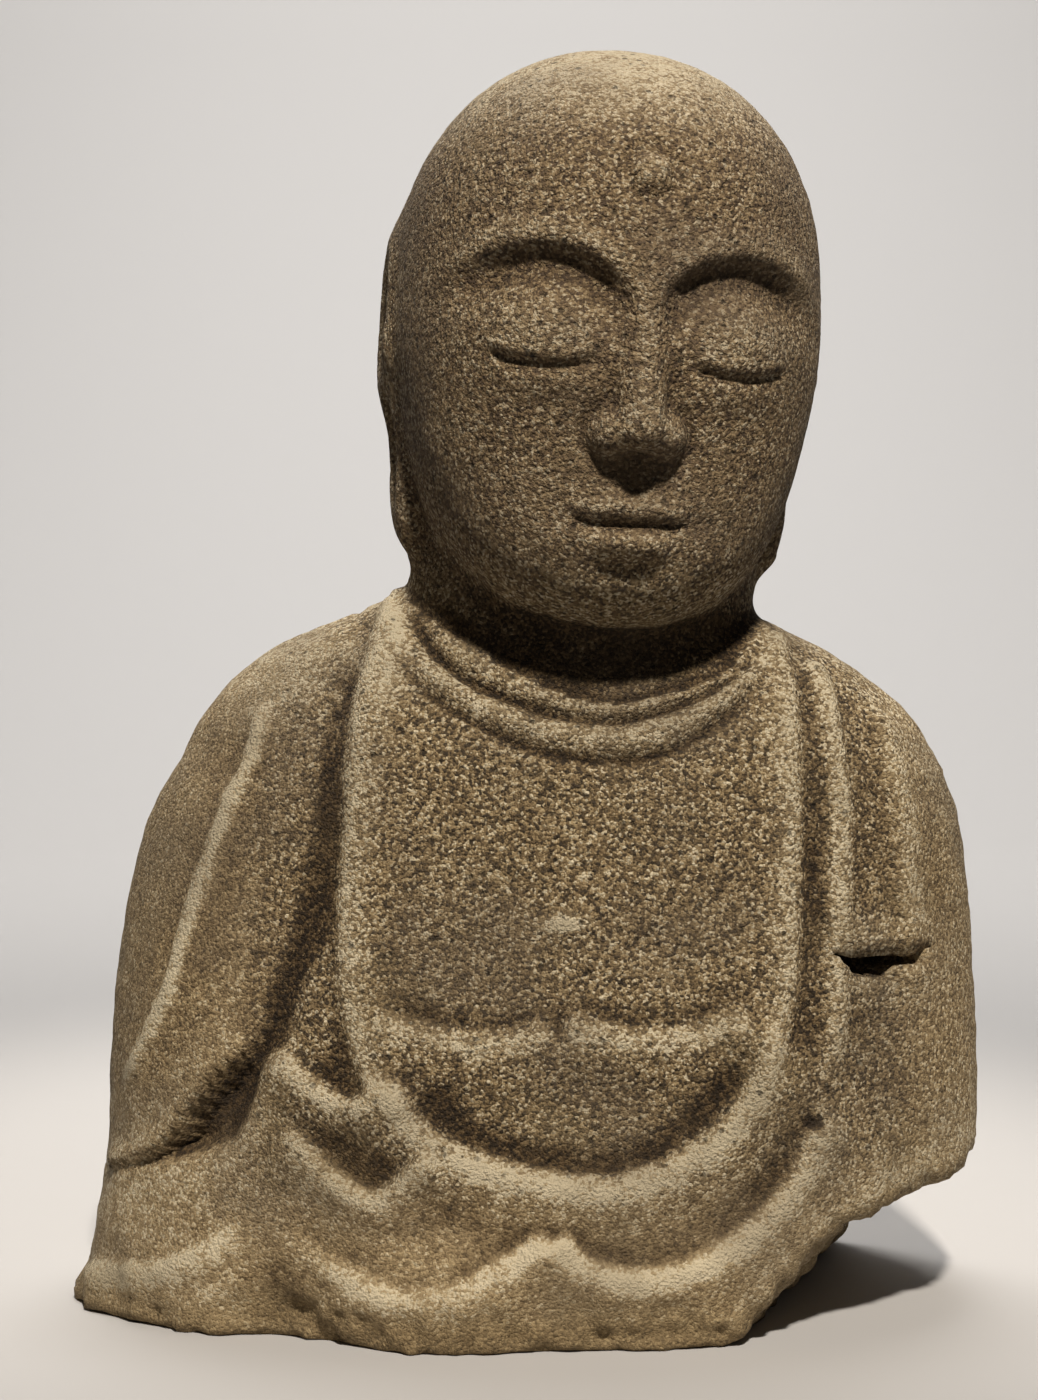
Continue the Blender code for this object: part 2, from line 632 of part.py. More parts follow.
def make_figure(collection):
    """The figure as one closed solid, thinned to the wanted number of triangles."""
    bm = bmesh.new()
    bmesh.ops.create_uvsphere(
        bm, u_segments=COLUMNS, v_segments=HEAD_RINGS + BODY_RINGS, radius=1.0
    )
    shape_sphere(bm)
    bmesh.ops.triangulate(bm, faces=bm.faces[:])
    mesh = bpy.data.meshes.new("stone_figure")
    bm.to_mesh(mesh)
    bm.free()
    mesh.materials.append(stone_material())
    figure = bpy.data.objects.new("stone_figure", mesh)
    collection.objects.link(figure)
    thin = figure.modifiers.new("thin", "DECIMATE")
    thin.ratio = MOST_TRIANGLES / len(mesh.polygons)
    return figure


def main():
    for item in list(bpy.data.objects):
        bpy.data.objects.remove(item, do_unlink=True)
    collection = bpy.data.collections.new("stone_buddha_statue")
    bpy.context.scene.collection.children.link(collection)
    make_figure(collection)


main()
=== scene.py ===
"""Finish of the robed stone figure: its carved and weathered surface, and the plain studio round it."""

import math

import bpy
import numpy as np
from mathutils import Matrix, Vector


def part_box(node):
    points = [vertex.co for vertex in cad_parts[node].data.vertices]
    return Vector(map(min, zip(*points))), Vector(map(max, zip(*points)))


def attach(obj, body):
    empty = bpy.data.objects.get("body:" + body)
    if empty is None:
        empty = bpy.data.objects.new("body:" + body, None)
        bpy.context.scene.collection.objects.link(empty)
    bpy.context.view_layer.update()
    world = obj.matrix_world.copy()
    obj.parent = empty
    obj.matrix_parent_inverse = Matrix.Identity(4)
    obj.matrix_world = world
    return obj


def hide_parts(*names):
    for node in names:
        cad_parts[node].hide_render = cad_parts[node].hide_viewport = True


bl_info = {
    "name": "Stone figure finish",
    "version": (1, 0, 0),
    "blender": (4, 5, 0),
    "location": "3D View > Sidebar > Stone figure",
    "description": "Carved and weathered surface of a robed stone figure, with a plain studio",
    "category": "Object",
}

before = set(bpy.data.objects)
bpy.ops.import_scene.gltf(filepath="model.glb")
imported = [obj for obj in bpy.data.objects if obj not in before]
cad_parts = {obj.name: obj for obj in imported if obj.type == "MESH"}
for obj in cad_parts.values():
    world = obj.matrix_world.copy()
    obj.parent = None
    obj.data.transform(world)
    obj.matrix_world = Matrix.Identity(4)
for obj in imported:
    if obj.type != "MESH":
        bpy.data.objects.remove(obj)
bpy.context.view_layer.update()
STONE_NODE = "stone_figure"
NODE_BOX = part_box(STONE_NODE)

# The form is drawn in millimetres, x to the viewer's right, y to the back and z up from its foot, and
# its mesh is then brought to the frame's box in metres. Left and right are the viewer's.

# Fineness of the carved surface: columns all round, and rings on the head and on the body
COLUMNS = 288
HEAD_RINGS = 153
BODY_RINGS = 191
FRONT_CROWDING = 0.58

# Size of the stone's grains and the spacing of its pits, in metres
GRAIN_SIZE = 0.00072
PIT_SPACING = 0.0028

# A fold's side narrower than this, in mm, is rolled under like a hem
HEM_WIDTH = 4.5

# Robed body: height, then the left, right, front and back reach at that height
SECTIONS = (
    (0, -115, 106, -70, 62),
    (15, -112.5, 108, -69, 63.5),
    (38, -109.5, 109.5, -65, 64),
    (70, -108.5, 109.6, -59, 64),
    (101, -104.5, 108, -51, 62),
    (120, -98.8, 105.2, -46.5, 60),
    (134, -91, 99, -42.5, 57),
    (145, -85, 91, -37.5, 53),
    (156, -74, 77.5, -30, 47),
    (163, -61.5, 65, -23, 42),
    (169, -46, 52, -14, 37),
    (176, -31, 38, -3, 31),
    (183, -13, 24, 8, 20),
)
SHOULDER_TOP = 183.0
BODY_ROUNDNESS = 2.25

# Point inside the body that its lines start from, how far it moves for the foot of the sides and for
# the underside, and how much its lines spread to the sides
BODY_CORE = np.array((5.0, 4.0, 100.0))
CORE_DROP = np.array((3.0, 0.0, 75.0))
CORE_SHIFT = np.array((20.0, -5.0, 0.0))
BODY_SPREAD = 1.3

# Neck: an ellipse, narrowest at its waist, that leans with its height. The neckline, where the rings of
# head and body meet, stands NECK_SHOWS above the shoulders
NECK_CENTRE = np.array((9.5, 3.0))
NECK_RADII = np.array((43.0, 37.0))
NECK_FOOT, NECK_WAIST, NECK_TOP = 130.0, 168.0, 198.0
NECK_FLARE = 0.00012
NECK_SLOPE, NECK_LEVEL = 0.04, 160.0
NECK_SHOWS = 3.0

# Head: it is turned, tipped forward and leant to the side, in degrees
HEAD_CENTRE = np.array((15.5, -6.0, 236.0))
HEAD_TURN = 8.0
HEAD_NOD = 4.5
HEAD_LEAN = 3.5

# Waves of the broken hem along the bottom front: place across, width, and how far out it is pushed;
# they fade between these heights
HEM_WAVES = ((-22.0, 17.0, 3.5), (-60.0, 15.0, -6.5))
HEM_HEIGHTS = (4.0, 34.0)

# Underside of the lost corner: place across, then its height there
LOST_CORNER = ((40, -8), (48, 0), (55, 8), (62, 17), (70, 24), (82, 29), (95, 33.5), (125, 41))

# Swelling at the left foot of the lap: its centre and radii
LEFT_FOOT = ((-105, -18, 0), (9.5, 15, 6))

# Small marks on the front, across and up: a pit, a pale flake and a rough patch
PIT_PLACE = (63.2, 49.7)
FLAKE_PLACE = (5.3, 95.6)
ROUGH_PLACE = (87.0, 38.0)

# Uneven tooling: size, seed, then height on the body and on the head; and the broken foot's fracture
TOOLING = ((13.0, 3, 0.35, 0.15), (5.0, 7, 0.28, 0.10), (2.3, 11, 0.16, 0.10))
FRACTURE = ((7.0, 17, 1.3), (3.4, 19, 1.5))

# Whole numbers that scramble a lattice corner's place and the seed into a random value
PLACE_KEYS = (73856093, 19349663, 83492791)
SEED_KEY = 2654435761
MIXING_KEY = 1274126177

# The lights: where they stand, in metres, and their colours
KEY_PLACE, KEY_TARGET, KEY_COLOUR = (0.20, -1.24, 1.715), (0.0, -0.02, 0.14), (1.0, 0.93, 0.84)
FILL_PLACE, FILL_COLOUR = (0.3, -1.7, 0.6), (0.95, 0.97, 1.0)
BACK_PLACE, BACK_COLOUR = (0.0, 0.7, 1.6), (1.0, 0.97, 0.94)
WALL_PLACE, WALL_TARGET, WALL_COLOUR = (0.0, 0.9, 1.9), (0.0, 2.0, 0.6), (1.0, 0.99, 0.98)
ROOM_COLOUR = (0.86, 0.84, 0.85, 1.0)
STAGE_MIDDLE = (0.0, 0.0, 0.15)


def ease(value, low, high):
    """Rise from 0 at low to 1 at high: with t the share of the way, 3 t squared less 2 t cubed."""
    share = np.clip((value - low) / (high - low), 0.0, 1.0)
    return share * share * (3.0 - 2.0 * share)


def fall(value, low, high):
    """Fall from 1 at low to 0 at high: 1 less the rise."""
    return 1.0 - ease(value, low, high)


def swell(offset, width):
    """Bell curve, 1 on the middle line: e to the minus square of offset over width."""
    return np.exp(-(offset / width) ** 2)


def join(first, second, width):
    """Two forms as one: the lower value of the two, blended by a parabola over the given width."""
    share = np.clip(0.5 + 0.5 * (second - first) / width, 0.0, 1.0)
    return second + (first - second) * share - width * share * (1.0 - share)


def carve(form, hollow, width):
    """A form less a hollow: the higher of the form and minus the hollow, blended over the width."""
    return -join(-form, hollow, width)


def smooth_curve(points, count):
    """Smooth curve through the points: a cubic whose slope at each is half the step across it."""
    points = np.asarray(points, float)
    ends = np.vstack([2 * points[0] - points[1], points, 2 * points[-1] - points[-2]])
    place = np.linspace(0.0, len(points) - 1.0, count)
    first = np.minimum(place.astype(int), len(points) - 2)
    share = (place - first)[:, None]
    before, start, end, after = (ends[first + step] for step in range(4))
    slope = end - before
    bend = 2 * before - 5 * start + 4 * end - after
    twist = 3 * (start - end) + after - before
    return start + 0.5 * share * (slope + share * (bend + share * twist))


def round_form(x, y, z, centre, radii, power=2.0):
    """Ellipsoid: offsets over radii, each to a power, summed, then the root, less 1, in size units."""
    total = 0.0
    for value, middle, radius in zip((x, y, z), centre, radii):
        total = total + (np.abs(value - middle) / radius) ** power
    return (total ** (1.0 / power) - 1.0) * min(radii)


def tapered_bar(x, y, z, start, end, first_radius, last_radius):
    """Round bar: the distance to the line between two points, less a radius that changes evenly."""
    start, end = np.array(start, float), np.array(end, float)
    span = end - start
    reach = (x - start[0]) * span[0] + (y - start[1]) * span[1] + (z - start[2]) * span[2]
    share = np.clip(reach / (span @ span), 0.0, 1.0)
    across = (x - start[0] - share * span[0]) ** 2 + (y - start[1] - share * span[1]) ** 2
    gap = np.sqrt(across + (z - start[2] - share * span[2]) ** 2)
    return gap - (first_radius + (last_radius - first_radius) * share)


SECTION_CURVE = smooth_curve(SECTIONS, 400)
LOST_CORNER_CURVE = smooth_curve(LOST_CORNER, 60)


def section(height):
    """Middle and half width across, middle and half width in depth, of the body at a height."""
    left, right, front, back = (
        np.interp(height, SECTION_CURVE[:, 0], SECTION_CURVE[:, side]) for side in range(1, 5)
    )
    return (left + right) / 2, (right - left) / 2, (front + back) / 2, (back - front) / 2


def body_depth(x, z, facing):
    """Depth of the plain body's front (facing -1) or back (facing 1), from its section's rounding."""
    middle, half_width, deep_middle, half_depth = section(z)
    across = np.clip(np.abs(x - middle) / half_width, 0.0, 0.985)
    reach = half_depth * (1.0 - across ** BODY_ROUNDNESS) ** (1.0 / BODY_ROUNDNESS)
    return deep_middle + facing * reach


def body_form(x, y, z):
    """Robed shoulders, chest and lap, with the uneven broken hem along the bottom front.

    Each level section is a squared ellipse: (across / half width) and (deep / half depth) to the power
    of BODY_ROUNDNESS, summed, then the root, less 1.
    """
    middle, half_width, deep_middle, half_depth = section(z)
    hem = fall(z, *HEM_HEIGHTS) * (y < 0)
    y = y + hem * sum(push * swell(x - place, width) for place, width, push in HEM_WAVES)
    across = (np.abs(x - middle) / half_width) ** BODY_ROUNDNESS
    deep = (np.abs(y - deep_middle) / half_depth) ** BODY_ROUNDNESS
    radius = (across + deep) ** (1.0 / BODY_ROUNDNESS)
    return np.maximum((radius - 1.0) * half_depth, z - SHOULDER_TOP)


def neck_form(x, y, z):
    """Short neck, an ellipse in plan, that widens with the square of the drop below its waist."""
    flare = 1.0 + NECK_FLARE * (np.minimum(z, NECK_WAIST) - NECK_WAIST) ** 2
    across = (x - NECK_CENTRE[0] - NECK_SLOPE * (z - NECK_LEVEL)) / NECK_RADII[0]
    deep = (y - NECK_CENTRE[1]) / NECK_RADII[1]
    radius = np.sqrt(across ** 2 + deep ** 2) / flare
    return np.maximum((radius - 1.0) * NECK_RADII[1], np.maximum(z - NECK_TOP, NECK_FOOT - z))


def head_axes():
    """Directions of the head's own width, depth and height."""
    turn, nod, lean = np.radians((HEAD_TURN, HEAD_NOD, HEAD_LEAN))
    turned = np.array(
        [[np.cos(turn), -np.sin(turn), 0], [np.sin(turn), np.cos(turn), 0], [0, 0, 1]]
    )
    nodded = np.array([[1, 0, 0], [0, np.cos(nod), -np.sin(nod)], [0, np.sin(nod), np.cos(nod)]])
    leant = np.array(
        [[np.cos(lean), 0, np.sin(lean)], [0, 1, 0], [-np.sin(lean), 0, np.cos(lean)]]
    )
    return turned @ nodded @ leant


HEAD_AXES = head_axes()


def in_head(x, y, z):
    """Coordinates from the head's centre, along its own axes."""
    offset = np.stack([x, y, z], axis=-1) - HEAD_CENTRE
    return np.moveaxis(offset @ HEAD_AXES, -1, 0)


def nose_form(side, y, z):
    """Straight bar for the bridge, ellipsoids for the wings, both cut by a plane underneath."""
    bridge = tapered_bar(side, y, z, (0, -51, 17), (0, -59.5, -20.5), 3.8, 5.4)
    wings = round_form(side, y, z, (6.0, -54.5, -22.5), (4.6, 6.4, 5.2))
    return -join(-join(bridge, wings, 3.0), z + 27.6 + 0.2 * (y + 56.0), 2.0)


def ear_form(side, y, z):
    """Flat squared ellipsoid for the ear, less a hollow, and a long one for the lobe, less a slit."""
    y = y - 0.12 * (z + 10.0)
    shell = round_form(side, y, z, (47.5, 11.0, 2.0), (9.0, 15.5, 27.0), 2.3)
    lobe = round_form(side, y, z, (43.5, 8.5, -34.0), (7.5, 9.0, 21.0), 2.3)
    hollow = round_form(side, y, z, (58.5, 11.0, 3.0), (8.0, 9.5, 17.5))
    slit = round_form(side, y, z, (53.0, 7.0, -31.0), (5.0, 2.5, 13.0))
    front_flap = round_form(side, y, z, (50.0, 0.0, -4.0), (4.5, 3.5, 6.0))
    return join(carve(carve(join(shell, lobe, 5.0), hollow, 2.5), slit, 2.5), front_flap, 3.0)


def head_form(x, y, z):
    """Shaven skull, full jaw and chin as ellipsoids joined by wide fillets, with nose and ears."""
    x, y, z = in_head(x, y, z)
    skull = round_form(x, y, z, (0, 6, 13), (53, 60, 58.5), 2.12)
    jaw = round_form(x, y, z, (0, -5, -20), (47, 49, 49), 2.4)
    chin = round_form(x, y, z, (0, -33, -49), (24, 20, 17))
    side = np.abs(x)
    head = join(join(join(skull, jaw, 16.0), chin, 16.0), nose_form(side, y, z), 3.5)
    return join(head, ear_form(side, y, z), 2.5)


def lost_corner_form(x, y, z):
    """What has broken away under the right knee: height over a line that runs back and right."""
    place = x - 0.32 * (y + 50.0)
    return 0.85 * (z - np.interp(place, LOST_CORNER_CURVE[:, 0], LOST_CORNER_CURVE[:, 1]))


def flap_notch_form(x, y, z):
    """Three-cornered notch under the shoulder flap: what lies inside four planes and near the front."""
    top = z - 88.4
    left = 0.69 * (71.6 - x) + 0.72 * (85.4 - z)
    under = 0.36 * (x - 75.7) + 0.93 * (82.0 - z)
    sides = np.maximum(np.maximum(top, left), np.maximum(under, x - 83.0))
    return np.maximum(sides, np.maximum(y, -7.5 - body_form(x, y, z)))


def stone_form(points):
    """The whole stone, below 0 inside and above 0 outside, cut flat at height 0."""
    x, y, z = points[..., 0], points[..., 1], points[..., 2]
    stone = join(body_form(x, y, z), neck_form(x, y, z), 5.0)
    stone = join(stone, head_form(x, y, z), 4.0)
    stone = carve(stone, flap_notch_form(x, y, z), 1.0)
    stone = join(stone, round_form(x, y, z, *LEFT_FOOT), 5.0)
    stone = carve(stone, lost_corner_form(x, y, z), 4.0)
    return -join(-stone, z, 2.5)


def surface_points(origins, aims, reach=150.0, step=2.5):
    """Where lines from inside the stone first come out of it: even steps, then halving the last one."""
    inside = np.zeros(len(origins))
    outside = np.full(len(origins), reach)
    waiting = np.arange(len(origins))
    for distance in np.arange(step, reach + step, step):
        sample = origins[waiting] + aims[waiting] * distance
        out = stone_form(sample) > 0.0
        outside[waiting[out]] = distance
        inside[waiting[~out]] = distance
        waiting = waiting[~out]
        if not len(waiting):
            break
    for _ in range(11):
        middle = (inside + outside) / 2
        within = stone_form(origins + aims * middle[:, None]) < 0.0
        inside = np.where(within, middle, inside)
        outside = np.where(within, outside, middle)
    return origins + aims * ((inside + outside) / 2)[:, None]


def aim(azimuth, rise):
    """Direction turned from the front towards the right, and raised."""
    level = np.cos(rise)
    return np.stack([level * np.sin(azimuth), -level * np.cos(azimuth), np.sin(rise)], axis=-1)


def azimuths(count):
    """Angles once around the figure, closer together at the front: turn less a share of its sine."""
    turn = 2.0 * np.pi * np.arange(count) / count
    return turn - FRONT_CROWDING * np.sin(turn)


def neckline(azimuth):
    """Ring on the neck just above the shoulders, whose height is found by halving."""
    x = NECK_CENTRE[0] + NECK_RADII[0] * np.sin(azimuth)
    y = NECK_CENTRE[1] - NECK_RADII[1] * np.cos(azimuth)
    low, high = np.full_like(x, 100.0), np.full_like(x, SHOULDER_TOP)
    for _ in range(20):
        middle = (low + high) / 2
        within = body_form(x, y, middle) < 0.0
        low, high = np.where(within, middle, low), np.where(within, high, middle)
    start = np.stack([np.full_like(x, 11.0), np.full_like(x, 3.0), low + NECK_SHOWS], axis=-1)
    return surface_points(start, aim(azimuth, np.zeros_like(azimuth)), 80.0, 2.0)


def angles_to(ring, centre):
    """Azimuth and rise of the ring's points, seen from the centre."""
    offset = ring - centre
    level = np.hypot(offset[:, 0], offset[:, 1])
    return np.arctan2(offset[:, 0], -offset[:, 1]), np.arctan2(offset[:, 2], level)


def drift(end, start):
    """Smallest turn from start to end."""
    return (end - start + np.pi) % (2.0 * np.pi) - np.pi


def head_lines(share, azimuth, neck):
    """Lines from the head's centre, from the crown (0) down to the neckline (1)."""
    neck_azimuth, neck_rise = angles_to(neck, HEAD_CENTRE)
    turned = azimuth + drift(neck_azimuth, azimuth) * share ** 2
    rise = np.pi / 2 + (neck_rise - np.pi / 2) * share
    return np.broadcast_to(HEAD_CENTRE, neck.shape), aim(turned, rise)


def body_lines(share, azimuth, neck):
    """Lines from the body's core: neckline (0), shoulders (1), foot of the sides (2), underside (3)."""
    neck_azimuth, neck_rise = angles_to(neck, BODY_CORE)
    level_azimuth = np.arctan2(BODY_SPREAD * np.sin(azimuth), np.cos(azimuth))
    fan = min(share, 1.0)
    drop = np.clip(share - 1.0, 0.0, 1.0)
    under = np.clip(share - 2.0, 0.0, 1.0)
    turned = level_azimuth + drift(neck_azimuth, level_azimuth) * (1.0 - fan) ** 2
    rise = neck_rise * (1.0 - fan) - under * np.pi / 2
    start = BODY_CORE - CORE_DROP * drop - CORE_SHIFT * under
    return np.broadcast_to(start, neck.shape), aim(turned, rise)


def rings_at(shares, lines, azimuth, neck):
    """Rings of surface points, one for each share."""
    origins, aims = zip(*(lines(share, azimuth, neck) for share in shares))
    hits = surface_points(np.concatenate(origins), np.concatenate(aims))
    return hits.reshape(len(shares), len(azimuth), 3)


def even_shares(lines, last, count, crowding):
    """Shares from 0 to last whose rings are evenly spaced, or closer where crowding is higher."""
    azimuth = azimuths(36)
    rough = np.linspace(0.0, last, 160)
    rings = rings_at(rough, lines, azimuth, neckline(azimuth))
    gaps = np.linalg.norm(np.diff(rings, axis=0), axis=2).mean(axis=1) * crowding(rough[1:])
    reached = np.concatenate([[0.0], np.cumsum(gaps)])
    return np.interp(np.linspace(0.0, reached[-1], count + 2), reached, rough)[1:-1]


def head_crowding(share):
    """Fewer rings over the crown."""
    return 0.5 + 0.5 * ease(share, 0.1, 0.3)


def body_crowding(share):
    """Fewer rings under the stone."""
    return 1.0 - 0.75 * ease(share, 2.2, 2.6)


def stone_rings():
    """All rings from the crown to the underside, with the two points that close them."""
    azimuth = azimuths(COLUMNS)
    neck = neckline(azimuth)
    head_shares = even_shares(head_lines, 1.0, HEAD_RINGS, head_crowding)
    body_shares = even_shares(body_lines, 3.0, BODY_RINGS - 2, body_crowding)
    head = rings_at(head_shares, head_lines, azimuth, neck)
    body = rings_at(body_shares, body_lines, azimuth, neck)
    crown = surface_points(HEAD_CENTRE[None], aim(np.zeros(1), np.full(1, np.pi / 2)))
    base = surface_points(*body_lines(3.0, azimuth[:1], neck[:1]))
    return np.concatenate([head, neck[None], body]), crown, base


def outward(rings):
    """Unit normals of the rings' surface: the cross product of its run down and its run around."""
    around = np.roll(rings, -1, axis=1) - np.roll(rings, 1, axis=1)
    normal = np.cross(np.gradient(rings, axis=0), around)
    return normal / np.linalg.norm(normal, axis=2, keepdims=True)


def on_body(outline, facing=-1, count=28):
    """Smooth line over the body's front or back through points given across and up."""
    flat = smooth_curve(outline, count)
    depth = body_depth(flat[:, 0], flat[:, 1], facing)
    return np.stack([flat[:, 0], depth, flat[:, 1]], axis=-1)


def body_point(place):
    """Point on the plain body's front, from its place across and its height."""
    return np.array((place[0], body_depth(*place, -1), place[1]))


def along(points, line):
    """Distance to a line, the side of it (+ is the left of its run) and the share of its run."""
    nearest = np.full(len(points), np.inf)
    side = np.zeros(len(points))
    share = np.zeros(len(points))
    for step, (start, end) in enumerate(zip(line[:-1], line[1:])):
        span = end - start
        offset = points - start
        place = np.clip(offset @ span / (span @ span), 0.0, 1.0)
        gap = np.linalg.norm(offset - place[:, None] * span, axis=1)
        near = gap < nearest
        nearest = np.where(near, gap, nearest)
        side = np.where(near, np.sign(span[0] * offset[:, 2] - span[2] * offset[:, 0]), side)
        share = np.where(near, (step + place) / (len(line) - 1), share)
    return nearest, side, share


def carving(rise, wear_and_highlight=0.0):
    """Two columns for each point: how far it is raised, and how pale it is from wear and painted highlight.
    """
    return np.stack([rise, np.broadcast_to(wear_and_highlight, rise.shape)], axis=-1)


def fold(points, outline, rise, widths, fades, wear_and_highlight=0.6, facing=-1):
    """Raised line with a width to its left and one to its right, faded over a share of each end.

    A narrow side is rolled under like a hem, as 1 less the square of distance over 1.75 widths; a wide
    side dies away as a bell curve.
    """
    line = on_body(outline, facing)
    near = np.all((points > line.min(axis=0) - 45.0) & (points < line.max(axis=0) + 45.0), axis=1)
    gap, side, share = along(points[near], line)
    width = np.where(side > 0, *widths)
    hem = width < HEM_WIDTH
    rolled = np.clip(1.0 - (gap / (1.75 * width)) ** 2, 0.0, 1.0)
    start, end = fades
    strength = np.ones(len(gap))
    if start:
        strength = strength * ease(share, 0.0, start)
    if end:
        strength = strength * ease(1.0 - share, 0.0, end)
    rubbed = np.where(hem, rolled ** 1.5, swell(gap, 2.0))
    carved = np.zeros((len(points), 2))
    carved[near, 0] = rise * np.where(hem, rolled, swell(gap, width)) * strength
    carved[near, 1] = wear_and_highlight * rubbed * strength
    return carved


def collar_line(front, back):
    """Ring round the neck: over the front of the body, then back across its rear."""
    return np.concatenate([on_body(front, -1, 24), on_body(back, 1, 14)])


def rolled_band(points, inner, outer):
    """1 on the middle of the band between two lines, falling to 0 at each as 4 t (1 - t)."""
    from_inner, inner_side, _ = along(points, inner)
    from_outer, outer_side, _ = along(points, outer)
    share = from_inner / (from_inner + from_outer)
    between = ease(-inner_side * from_inner, -0.3, 0.3) * ease(outer_side * from_outer, -0.3, 0.3)
    return 4.0 * share * (1.0 - share) * between, from_inner, from_outer


def collar_relief(points):
    """Two rolled bands around the neck, less a bell-shaped groove along each of their three edges."""
    rim = collar_line(
        (
            (-33.4, 174), (-29, 168), (-18, 161), (-6, 154), (4, 149.5), (15, 147), (24, 148),
            (37, 151.5), (45.5, 155.5), (53, 165),
        ),
        ((53, 165), (45, 167), (30, 166), (9.5, 166), (-12, 168), (-25, 171), (-33.4, 174)),
    )
    first = collar_line(
        (
            (-37, 171), (-32, 165), (-26.5, 158.5), (-18, 152), (-12.5, 149.5), (-0.5, 145), (14, 142.5),
            (25, 144), (34, 147), (41, 150), (50, 156), (57, 163),
        ),
        ((57, 163), (46, 162), (30, 162), (9, 162), (-12, 164), (-26, 167), (-37, 171)),
    )
    second = collar_line(
        (
            (-43, 166), (-35, 156), (-26, 148.5), (-18.5, 144), (-6, 138), (3, 135.5), (17, 134),
            (30, 136), (43, 143.5), (51, 150), (60, 158),
        ),
        ((60, 158), (46, 156), (30, 156), (9, 156), (-14, 158), (-30, 161), (-43, 166)),
    )
    carved = np.zeros((len(points), 2))
    near = (points[:, 2] > 128.0) & (points[:, 2] < 184.0)
    upper, from_rim, from_first = rolled_band(points[near], rim, first)
    lower, _, from_second = rolled_band(points[near], first, second)
    side_calm = 1.0 - 0.7 * ease(np.abs(points[near, 0] - 10.0), 34.0, 44.0)
    bands = 1.7 * upper + 2.1 * lower
    grooves = 0.7 * swell(from_rim, 1.5) + 1.3 * swell(from_first, 1.5) + 1.0 * swell(from_second, 1.6)
    carved[near, 0] = (bands - grooves) * side_calm
    carved[near, 1] = 0.15 * upper + 0.3 * lower
    return carved


def bib_relief(points):
    """Border of the hanging front cloth, down the left, round the bottom and up the right."""
    left = (
        (-37, 171), (-40, 160), (-43, 148), (-44.5, 134), (-45, 116), (-46, 96), (-45, 80),
        (-42, 68), (-38, 60), (-31, 51),
    )
    bottom = (
        (-36, 56), (-31, 49), (-23, 43.5), (-13, 39.5), (-2, 37), (8, 35.5), (19, 36), (30, 39.5),
        (40, 46), (48, 54), (53.5, 64), (56, 76),
    )
    right = ((57, 162), (58.5, 148), (58.5, 128), (58, 108), (57, 90), (56, 78), (52, 66), (46, 56))
    strap = ((-35, 170), (-36, 158), (-38, 146), (-40, 128))
    carved = fold(points, left, rise=2.6, widths=(8.0, 2.4), fades=(0.0, 0.05), wear_and_highlight=0.6)
    carved += fold(points, bottom, rise=4.2, widths=(3.0, 9.0), fades=(0.0, 0.15), wear_and_highlight=1.3)
    carved += fold(points, right, rise=2.6, widths=(2.6, 8.0), fades=(0.0, 0.15), wear_and_highlight=0.5)
    return carved + fold(points, strap, rise=0.7, widths=(4.8, 4.8), fades=(0.1, 0.6), wear_and_highlight=0.6)


def belly_relief(points):
    """Two shallow scallops of cloth across the belly, meeting in a point, and a pale flake above."""
    left = ((-41, 73.5), (-33, 71), (-24, 69), (-14, 68), (-5, 69), (3.5, 73))
    right = ((3.5, 73), (8, 71.5), (16, 69.5), (26, 68.5), (36, 70), (44, 73), (49, 76))
    carved = fold(points, left, rise=2.1, widths=(2.8, 8.0), fades=(0.12, 0.12), wear_and_highlight=0.7)
    carved += fold(points, right, rise=2.1, widths=(2.8, 8.0), fades=(0.12, 0.15), wear_and_highlight=0.7)
    offset = points - body_point(FLAKE_PLACE)
    gap = np.linalg.norm(offset * (0.42, 0.5, 1.0), axis=1)
    flake = swell(gap, 1.7) * ease(offset[:, 2] - 0.2 * offset[:, 0], -1.6, -0.6)
    return carved + carving(0.9 * flake, 4.5 * flake)


def lap_relief(points):
    """Hanging folds over the lap, each a scallop with a crisp upper edge."""
    upper = ((-64, 67), (-59, 61), (-53, 57), (-47, 54), (-42, 54), (-37, 57))
    middle = ((-63, 49), (-56, 43.5), (-49, 37.5), (-41, 33), (-35, 34.5), (-29, 40), (-24, 43))
    lower = (
        (-68, 29), (-58, 22), (-48, 16.5), (-39, 12.5), (-29, 11), (-20, 13), (-11, 17), (-4, 21.5),
        (2, 27),
    )
    right = (
        (2, 27), (5, 22), (11, 17.5), (22, 15.5), (34, 17.5), (43, 22), (51, 28), (59, 36),
        (64, 46), (66.5, 56),
    )
    knee = ((-110, 8.5), (-100, 11), (-92, 13), (-84, 17), (-76, 22), (-70, 28))
    carved = fold(points, upper, rise=3.2, widths=(2.1, 6.0), fades=(0.12, 0.15), wear_and_highlight=0.9)
    carved += fold(points, middle, rise=3.6, widths=(2.1, 6.5), fades=(0.15, 0.1), wear_and_highlight=0.8)
    carved += fold(points, lower, rise=2.7, widths=(2.3, 8.5), fades=(0.3, 0.08), wear_and_highlight=1.0)
    carved += fold(points, right, rise=2.8, widths=(2.3, 7.5), fades=(0.08, 0.1), wear_and_highlight=1.1)
    return carved + fold(points, knee, rise=1.8, widths=(1.6, 3.5), fades=(0.0, 0.3), wear_and_highlight=1.0)


